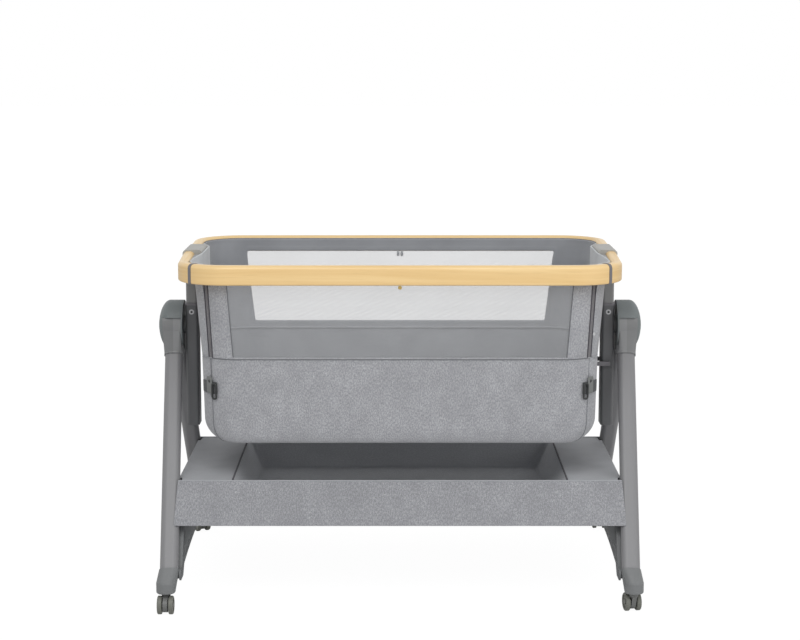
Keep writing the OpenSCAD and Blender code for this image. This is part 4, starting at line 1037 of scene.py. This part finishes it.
def hem_flaps():
    """Beside each clamp the hem folds over to the rail: a strip from the bowed wall out to the rail's
    inner face, sinking towards it, and behind the clamp a darker one deeper in the gap, its dark
    cloth painted shade."""
    rail_inside = 449.2
    # The second strip's dark cloth is painted shade, deep in the gap behind the clamp.
    for name, front, back, drop, cloth in (("hem_flaps", -150.0, -64.0, 3.0, binding_cloth),
                                           ("shaded_hem_folds", 64.0, 112.0, 16.0, dark_seam_and_gap_shade)):
        strips = []
        for _, side in SIDES:
            y = np.linspace(front, back, 30)[None, :]
            points, _ = wall(np.full((1, 30), HEM), side * run_round(HEM, y), 1.0)
            near, share = np.abs(points[..., 0]), np.linspace(0, 1, 8)[:, None]
            x = near + (rail_inside - near) * share
            z = HEM + hem_lift(y) - drop - 4 * share + 1.5 * np.sin(math.pi * share)
            sheet = np.stack(np.broadcast_arrays(side * x, y, z), axis=-1)
            strips.append(grid("flap", facing(sheet, -side), x, y + 0 * x))
        thicken(piece(name, strips, cloth, "bassinet"), 1.4)


def zips():
    """Both zips. Each half is a narrow tape with a bead along its edge and half of a coil, which
    is a thread wound round the edge. A dark cord where the tape is sewn in is painted shade for the
    gap at the tape's outer edge."""
    pitch = 1.5
    for body, way, node in (("bassinet", 1, "wall_zip_tapes"), ("drop_side", -1, "panel_zip_tapes")):
        tapes, coils, gap_shades = [], [], []
        for _, side in SIDES:
            z = spread([SEAM + (0.2 if way > 0 else 0.5), HEM - 1], [90])
            near, far = run_to(z, zip_x(z) + way * 0.2), run_to(z, zip_x(z) + way * (TAPE + 1.5))
            across = spread([near, far], [5]) if way > 0 else spread([far, near], [5])
            if side < 0:
                across = -across[:, ::-1]
            bead = 0.3 * ridge(np.abs(np.abs(across) - near[:, None]), 1.0)
            points, _ = wall(z[:, None], across, 1.5 - bead)
            tapes.append(grid("tape", points, across, z[:, None]))
            path, normal = wall(z, side * run_to(z, zip_x(z) + way * (TAPE + 0.1)), 0.4)
            gap_shades.append(cord("seam", path, 0.9, normal, sides=6))
            turns = (z[-1] - z[0] - 6) / pitch
            angle = np.linspace(0, TURN * turns, int(turns * 8))
            height = z[0] + 3 + pitch * angle / TURN
            edge = run_to(height, zip_x(height) + way * 0.95)
            middle, normal = wall(height, side * edge, 0.9)
            sideways = np.cross(normal, (0, 0, 1))
            helix = (middle + 0.75 * np.cos(angle)[:, None] * sideways
                     + 0.55 * np.sin(angle)[:, None] * normal)
            coils.append(cord("coil", helix, 0.28, (0, 0, 1), sides=5))
        tape = piece(body + "_zip_tape_cloth", tapes, zip_tape_cloth, body, [node])
        thicken(tape, 1.2, levels=0)
        piece(body + "_zip_coil", coils, coil_plastic, body)
        # Dark cords in the gaps beside the tapes: painted shade.
        piece(body + "_zip_gap_shades", gap_shades, zip_gap_shade_and_dark_piping, body)


def zip_sliders():
    """Each slider is a flat body with a pinched waist, a bridge, and a pull tab with a hole."""
    for name, side in SIDES:
        low, high = span(name + "_zip_slider")
        middle = (low + high) / 2
        centre, normal = wall(middle[2], side * run_to(middle[2], abs(middle[0])))
        lean = np.array([side * ZIP_LEAN / (RAIL - SEAM), 0, 1.0])
        lean /= np.linalg.norm(lean)
        across = np.cross(normal, lean)
        height = np.array([-4.4, -3.6, -1.0, 1.5, 3.6, 4.4])
        width = np.array([1.4, 2.3, 2.0, 2.4, 3.0, 2.0])
        spine = centre - 0.4 * normal + height[:, None] * lean
        body = cord("body", spine, width, across, sides=16, flat=0.55)
        arch = np.linspace(0, math.pi, 12)
        bridge = cord("bridge", centre + normal * (0.9 + 1.5 * np.sin(arch))[:, None]
                      + lean * (3.2 * np.cos(arch))[:, None], 0.55, across, sides=8)
        angle = np.linspace(0, TURN, 40, endpoint=False)
        loop = (centre + normal * 2.1 + lean * (-7.2 + 6.8 * np.cos(angle))[:, None]
                + across * (2.2 * np.sin(angle) * (1 - 0.25 * np.cos(angle)))[:, None])
        pull = cord("pull", loop, 0.75, normal, loop=True, sides=8, flat=1.5)
        piece(name + "_zip_slider_body", [body, bridge, pull], steel,
              name + "_zip", [name + "_zip_slider"])


# Mattress

def mattress_pad():
    """The mattress: a closed pad with crowned faces and sides drawn in between its corners, blown
    up a little by a cloth simulation, with a piped edge. The start shape is a stack of rounded
    outlines, smaller than the pad by the swelling."""
    low, high = span("mattress")
    centre, half = (low + high) / 2, (high - low) / 2
    swell = 2.5
    profile = np.array([(60, -0.80), (20, -0.93), (6, -0.80), (1.5, -0.4), (0, 0), (1.5, 0.4), (6, 0.80),
                        (20, 0.93), (60, 0.98)])
    share = shares(240)
    rows = []
    for inset, up in profile:
        inset += swell
        sizes = (half[0] - inset, half[1] - inset, max(52.0 - inset, 12.0))
        height = centre[2] + up * (half[2] - swell)
        points, _ = outline(height, share * perimeter(*sizes), 0.0, sizes)
        rows.append(points)
    rows = np.stack(rows)
    points = np.concatenate([closing(rows[:1], 8)[0][::-1], rows, closing(rows[-1:], 8)[0]])
    mesh = grid("mattress_cover", points, 0.0, 0.0, ring=True, weld=True)
    made = piece("mattress_cover", mesh, mattress_cover, "mattress", ["mattress"])
    inflate(made, swell, low, high)
    for name, up in (("mattress_top_piping", 0.62), ("mattress_low_piping", -0.62)):
        sizes = (half[0] - 3.0, half[1] - 3.0, 50.0)
        height = np.full(240, centre[2] + up * half[2])
        path, normal = outline(height, share * perimeter(*sizes), 0.0, sizes)
        piece(name, cord(name, path, 2.0, normal, loop=True, sides=8), piping_cloth, "mattress")


def quilting(points, low, high):
    """How far down the cover is stitched at its top, and up at its bottom: grooves along two sets
    of slanting lines, 60 mm apart, that fade out towards the edges."""
    x, y, z = points.T
    half, away = (high - low) / 2, np.abs(points - (high + low) / 2).T
    out = np.minimum(half[0] - away[0], half[1] - away[1])
    grooves = sum(ridge(np.abs((x + way * y) / 1.414 % 60 - 30), 3.6) for way in (1, -1))
    flat = away[2] > half[2] * 0.72
    sunk = 2.2 * np.minimum(grooves, 1.1) * ease(out, 18, 34) * flat
    return sunk * np.sign(z - (low[2] + high[2]) / 2)


def inflate(made, cap, low, high):
    """Blows a pad up: remeshed to even voxels, pressed from inside by the cloth simulation for
    twenty frames, no point moving further than the cap, and held between its lowest and highest
    corners. One subdivision rounds it."""
    bpy.context.view_layer.objects.active = made
    made.select_set(True)
    voxels = made.modifiers.new("Voxels", "REMESH")
    voxels.mode, voxels.voxel_size = "VOXEL", 5 * MM
    bpy.ops.object.modifier_apply(modifier=voxels.name)
    start = np.empty(len(made.data.vertices) * 3)
    made.data.vertices.foreach_get("co", start)
    cloth = made.modifiers.new("Pressure", "CLOTH")
    cloth.settings.use_pressure = True
    cloth.settings.uniform_pressure_force = 4
    cloth.settings.effector_weights.gravity = 0
    cloth.settings.quality = 4
    for frame_number in range(1, 21):
        bpy.context.scene.frame_set(frame_number)
    bpy.ops.object.modifier_apply(modifier=cloth.name)
    bpy.context.scene.frame_set(1)
    moved = np.empty_like(start)
    made.data.vertices.foreach_get("co", moved)
    step = (moved - start).reshape(-1, 3)
    length = np.linalg.norm(step, axis=1)[:, None] + 1e-9
    points = start.reshape(-1, 3) + step * np.minimum(1, cap * MM / length)
    points = np.clip(points, low * MM, high * MM)
    points[:, 2] -= quilting(points / MM, low, high) * MM
    made.data.vertices.foreach_set("co", points.reshape(-1))
    made.data.shade_smooth()
    round_off(made)


# Storage base

base_low, base_high = span("base_front_panel")
BASE_TOP, BASE_FOOT = base_high[2], base_low[2]
# Height where the legs' axes meet, and how far out they are at a height that far below it
LEGS_MEET, LEGS_OUT, LEGS_DROP = 547, 318, 462
# Half length of the basket's opening
WELL = 350.0


def leg_y(z):
    """Distance of the legs' axes from the middle at a height."""
    return LEGS_OUT * (LEGS_MEET - z) / LEGS_DROP


def panel_half(z):
    """Half length of the base's front and rear panels at a height."""
    return np.interp(z, [BASE_FOOT, BASE_TOP], [469.0, 465.0])


def panel_face(z):
    """Outside of the base's front and rear panels, which lie along the legs' outer sides."""
    return leg_y(z) + 17.6


def base_panels():
    """The base's front and rear: each hangs along the legs with its ends rounded off, full between
    its top seam and its hem, and drawn in at both. A folded hem is stitched along the foot."""
    rows = []
    for name, side in (("base_front_panel", -1), ("base_rear_panel", 1)):
        z = spread([BASE_FOOT, BASE_FOOT + 14, BASE_TOP], [10, 30])[:, None]
        half = panel_half(z)
        share = spread([-1, -0.94, 0.94, 1], [16, 110, 16])[None, :]
        x = half * share
        up = (z - BASE_FOOT) / (BASE_TOP - BASE_FOOT)
        inset = (0.4 + 0.9 * ridge(z - BASE_FOOT - 12, 1.6) + 1.6 * ridge(BASE_TOP - z, 3.0)
                 + 0.8 * ridge(z - BASE_FOOT, 1.6) + 0.7 * ridge(half - np.abs(x), 2.2)
                 + 0.7 * ridge(half - np.abs(x) - 7, 1.6)
                 + 0.5 * np.sin(x / 37) * np.sin(math.pi * up) + 0.4 * np.sin(x / 83 + 2) * up)
        bulge = 1.4 * np.sin(math.pi * up) * (1 - ridge(half - np.abs(x), 30))
        y = panel_face(z) - inset + bulge
        points = np.stack(np.broadcast_arrays(-side * x, side * y, z), axis=-1)
        made = piece(name + "_cloth", grid(name, points, x, z * np.ones_like(x)), base_cloth, "stand",
                     [name])
        thicken(made, 2.2, lining_cloth)
        for height in (BASE_FOOT + 12, BASE_TOP - 4):
            line = np.linspace(-1, 1, 200) * (panel_half(height) - 6)
            y = np.full(200, side * (panel_face(height) - 0.9))
            path = np.stack([line, y, np.full(200, height)], axis=-1)
            rows.append(stitches("row", path, (0, side * 0.82, 0.57)))
    piece("base_stitching", rows, binding_cloth, "stand")


def base_ends():
    """The base's end panels, between the legs, hollowed a little between their edges."""
    meshes = []
    low, high = span("base_end_panels")
    for side in (-1, 1):
        z = spread([low[2], low[2] + 12, high[2]], [8, 22])[:, None]
        depth = leg_y(z) - 16.6
        y = depth * spread([-1, 1], [60])[None, :]
        up = (z - low[2]) / (high[2] - low[2])
        x = (high[0] - 0.3 - 0.8 * ridge(z - low[2] - 11, 1.6)
             - 1.2 * np.sin(math.pi * up) * np.cos(y / 160))
        points = np.stack(np.broadcast_arrays(side * x, side * y, z), axis=-1)
        meshes.append(grid("end", points, y, z * np.ones_like(y)))
    made = piece("base_end_cloth", meshes, base_cloth, "stand",
                 ["base_end_panels"])
    thicken(made, 2.0, lining_cloth)


def base_tops():
    """The base's two top flaps, from the basket out to the ends, cut in round the legs and sagging
    a little between their edges."""
    meshes = []
    high, cut = span("base_tops")[1], 457
    for side in (-1, 1):
        x = spread([WELL + 0.5, 440, cut, high[0]], [24, 5, 4])[None, :]
        depth = np.where(x <= cut, high[1] - 0.3, leg_y(BASE_TOP) - 17.2)
        y = depth * spread([-1, -0.9, 0.9, 1], [8, 44, 8])[:, None]
        sag = 2.0 * np.sin(math.pi * np.clip((x - WELL) / (high[0] - WELL), 0, 1)) * np.cos(y / 150)
        z = high[2] - 0.2 - sag * (np.abs(y) < 210) - 1.4 * ridge(depth - np.abs(y), 2.5)
        points = np.stack(np.broadcast_arrays(side * x, y, z), axis=-1)
        meshes.append(grid("top", facing(points, side), x * np.ones_like(y), y))
    made = piece("base_top_cloth", meshes, top_cloth, "stand", ["base_tops"])
    thicken(made, 2.2, top_cloth)


def rounded(z, half, depth, radius, share):
    """A rounded rectangle at a height, as points at shares of the way round."""
    sizes = (half, depth, radius)
    return outline(z * np.ones_like(share), share * perimeter(*sizes), 0.0, sizes)[0]


def basket():
    """The open basket: a bound rim, ends that slope in, soft corners and a floor that sags."""
    low, high = span("basket_well")
    share = shares(300)
    rim = high[2] - 0.3
    depth = rim - low[2]
    rings = [rounded(rim - 0.6, WELL, 219.0, 5.0, share), rounded(rim, 349.0, 217.0, 5.0, share),
             rounded(rim - 0.4, 348.5, 214.0, 6.0, share)]
    for down in np.linspace(0.03, 0.9, 16):
        pull = 1.2 * math.sin(math.pi * down)
        rings.append(rounded(rim - down * depth, 349 - 33 * down + pull * 0.5, 212.5 + pull * 0.3,
                             6 + 10 * down, share))
    for turn in np.linspace(0.2, 1, 6) * math.pi / 2:
        rings.append(rounded(rim - (0.9 + 0.1 * math.sin(turn)) * depth + 0.2,
                             349 - 33 * 0.9 - 9 * (1 - math.cos(turn)), 212.5 - 7 * (1 - math.cos(turn)),
                             15 + 3 * math.sin(turn), share))
    rings = np.stack(rings)
    floor, size = closing(rings[-1:], 10)
    floor[..., 2] += 0.8 * np.cos(floor[..., 0] / 55) * (1 - size[..., 0] ** 4)
    points = np.concatenate([rings, floor])
    along = np.arange(len(points))[:, None] * 8.0
    mesh = grid("basket_cloth", points, np.linspace(0, 1140, 301)[None, :], along, ring=True, weld=True)
    # The inside of the basket wears the lightened heather: painted light over its shade.
    made = piece("basket_cloth", mesh, well_cloth_painted_light, "stand", ["basket_well"])
    thicken(made, 2.0, base_cloth, levels=0)


def base_piping():
    """Dark piping where the flaps meet the basket, and piping of the flaps' own cloth along the
    top of the front and rear panels."""
    lines = []
    for side in (-1, 1):
        y = np.linspace(-216, 216, 80)
        path = np.stack([np.full(80, side * (WELL + 0.2)), y, np.full(80, BASE_TOP + 0.6)], axis=-1)
        lines.append(cord("line", path, 2.0, (side, 0, 0)))
    piece("basket_piping", lines, zip_gap_shade_and_dark_piping, "stand")
    lines = []
    for side in (-1, 1):
        x = np.linspace(-463, 463, 160)
        y = np.full(160, side * (panel_face(BASE_TOP) - 2.0))
        path = np.stack([x, y, np.full(160, BASE_TOP - 0.8)], axis=-1)
        lines.append(cord("line", path, 1.5, (0, side, 0)))
    piece("base_edge_piping", lines, top_cloth, "stand")


front_panel()
for side_name, side_sign in SIDES:
    end_wall(side_name + "_end_wall", side_sign)
rear_wall()
netting("front_netting", FRONT_WINDOW, False, front_net_cloth, "drop_side", "front_mesh")
netting("rear_netting", REAR_WINDOW, True, rear_net_shaded_cloth, "bassinet", "rear_mesh")
tub_skirt()
bassinet_trim()
window_stitching("front_window_stitching", FRONT_WINDOW, False, "drop_side")
window_stitching("rear_window_stitching", REAR_WINDOW, True, "bassinet")
window_binding()
hem_piping()
hem_flaps()
corner_hardware()
small_fittings()
rivet_hole_shades()
zips()
zip_sliders()
mattress_pad()
base_panels()
base_ends()
base_tops()
basket()
base_piping()


# Materials of the carried CAD nodes

FINISHES = {
    rail_timber: ["rail"], leg_paint: ["leg"], post_paint: ["post_sleeve", "cross_bars"],
    tube_paint: ["inner_tubes"], hub_plastic: ["hub_"], socket_plastic_facet_shaded: ["leg_sockets"],
    beam_plastic: ["side_beam"], foot_plastic: ["_foot"],
    trim_plastic: ["post_collars", "rail_rings", "guide_bracket"], clamp_plastic: ["rail_clamps"],
    button_plastic: ["release_button"], caster_plastic: ["_caster"], wheel_plastic: ["_wheels"],
    steel: ["bolts", "rivets"], brass: ["snap"],
    webbing: ["straps"], top_cloth: ["board"]}
# Words in the names of the other nodes that the pieces above replace
DRESSED = ("panel", "mesh", "wall", "tapes", "slider", "tops", "well", "skirt")


def finish_for(node):
    """The material of a CAD node, by the last entry whose word its name holds."""
    return [material for material, words in FINISHES.items() if any(word in node for word in words)][-1]


for node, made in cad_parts.items():
    if node != "mattress" and not any(word in node for word in DRESSED):
        for place in made.material_slots:
            place.material = finish_for(node)


# Floor, light and camera

def stage_floor():
    """A pale floor. The camera sees it white, with the crib's own faint shade left on it."""
    mesh = bpy.data.meshes.new("studio_floor")
    mesh.from_pydata([(-30, -30, -0.0004), (30, -30, -0.0004), (30, 30, -0.0004), (-30, 30, -0.0004)],
                     [], [(0, 1, 2, 3)])
    floor = bpy.data.objects.new("studio_floor", mesh)
    bpy.context.scene.collection.objects.link(floor)
    material = bpy.data.materials.new("studio floor")
    material.use_nodes = True
    tree = material.node_tree
    tree.nodes.clear()
    matt = put(tree, "BsdfDiffuse", {"Color": (0.86, 0.86, 0.86, 1)}).outputs[0]
    glow = put(tree, "Emission", {"Color": (1, 1, 1, 1), "Strength": 1.07}).outputs[0]
    seen = put(tree, "LightPath").outputs["Is Camera Ray"]
    share = calc(tree, "MULTIPLY", seen, 0.90)
    both = put(tree, "MixShader", {0: share, 1: matt, 2: glow}).outputs[0]
    put(tree, "OutputMaterial", {0: both})
    mesh.materials.append(material)


def studio_world():
    """White to the camera and in reflections, and a softer even light on everything else."""
    world = bpy.data.worlds.new("studio")
    world.use_nodes = True
    tree = world.node_tree
    tree.nodes.clear()
    path = put(tree, "LightPath").outputs
    seen = calc(tree, "MAXIMUM", path["Is Camera Ray"],
                calc(tree, "MAXIMUM", path["Is Glossy Ray"], path["Is Transmission Ray"]))
    strength = calc(tree, "MULTIPLY_ADD", seen, 0.40, 0.60)
    light = put(tree, "Background", {"Color": (1, 1, 1, 1), "Strength": strength}).outputs[0]
    put(tree, "OutputWorld", {0: light})
    bpy.context.scene.world = world


def area_light(name, place, aim, size, power):
    """A square soft light, pointed at a place."""
    light = bpy.data.lights.new(name, "AREA")
    light.shape, light.size, light.energy = "SQUARE", size, power
    lamp = bpy.data.objects.new(name, light)
    bpy.context.scene.collection.objects.link(lamp)
    way = np.array(aim, float) - np.array(place, float)
    flat = math.hypot(way[0], way[1])
    lamp.location = place
    lamp.rotation_euler = (math.atan2(flat, -way[2]), 0, math.atan2(way[1], way[0]) - math.pi / 2)


stage_floor()
studio_world()
area_light("key", (-0.3, -2.8, 3.3), (0, 0, 0.45), 2.4, 58)
area_light("fill", (2.6, -2.6, 1.8), (0, 0, 0.4), 2.6, 30)

# The camera's height, tilt and distance were solved from the photograph
lens = bpy.data.cameras.new("camera")
lens.lens, lens.sensor_width = 85.0, 36.0
camera = bpy.data.objects.new("camera", lens)
bpy.context.scene.collection.objects.link(camera)
camera.location = (0, -4.080, 1.159)
camera.rotation_euler = (math.radians(81.6), 0, 0)
bpy.context.scene.camera = camera
bpy.context.scene.view_settings.view_transform = "Standard"
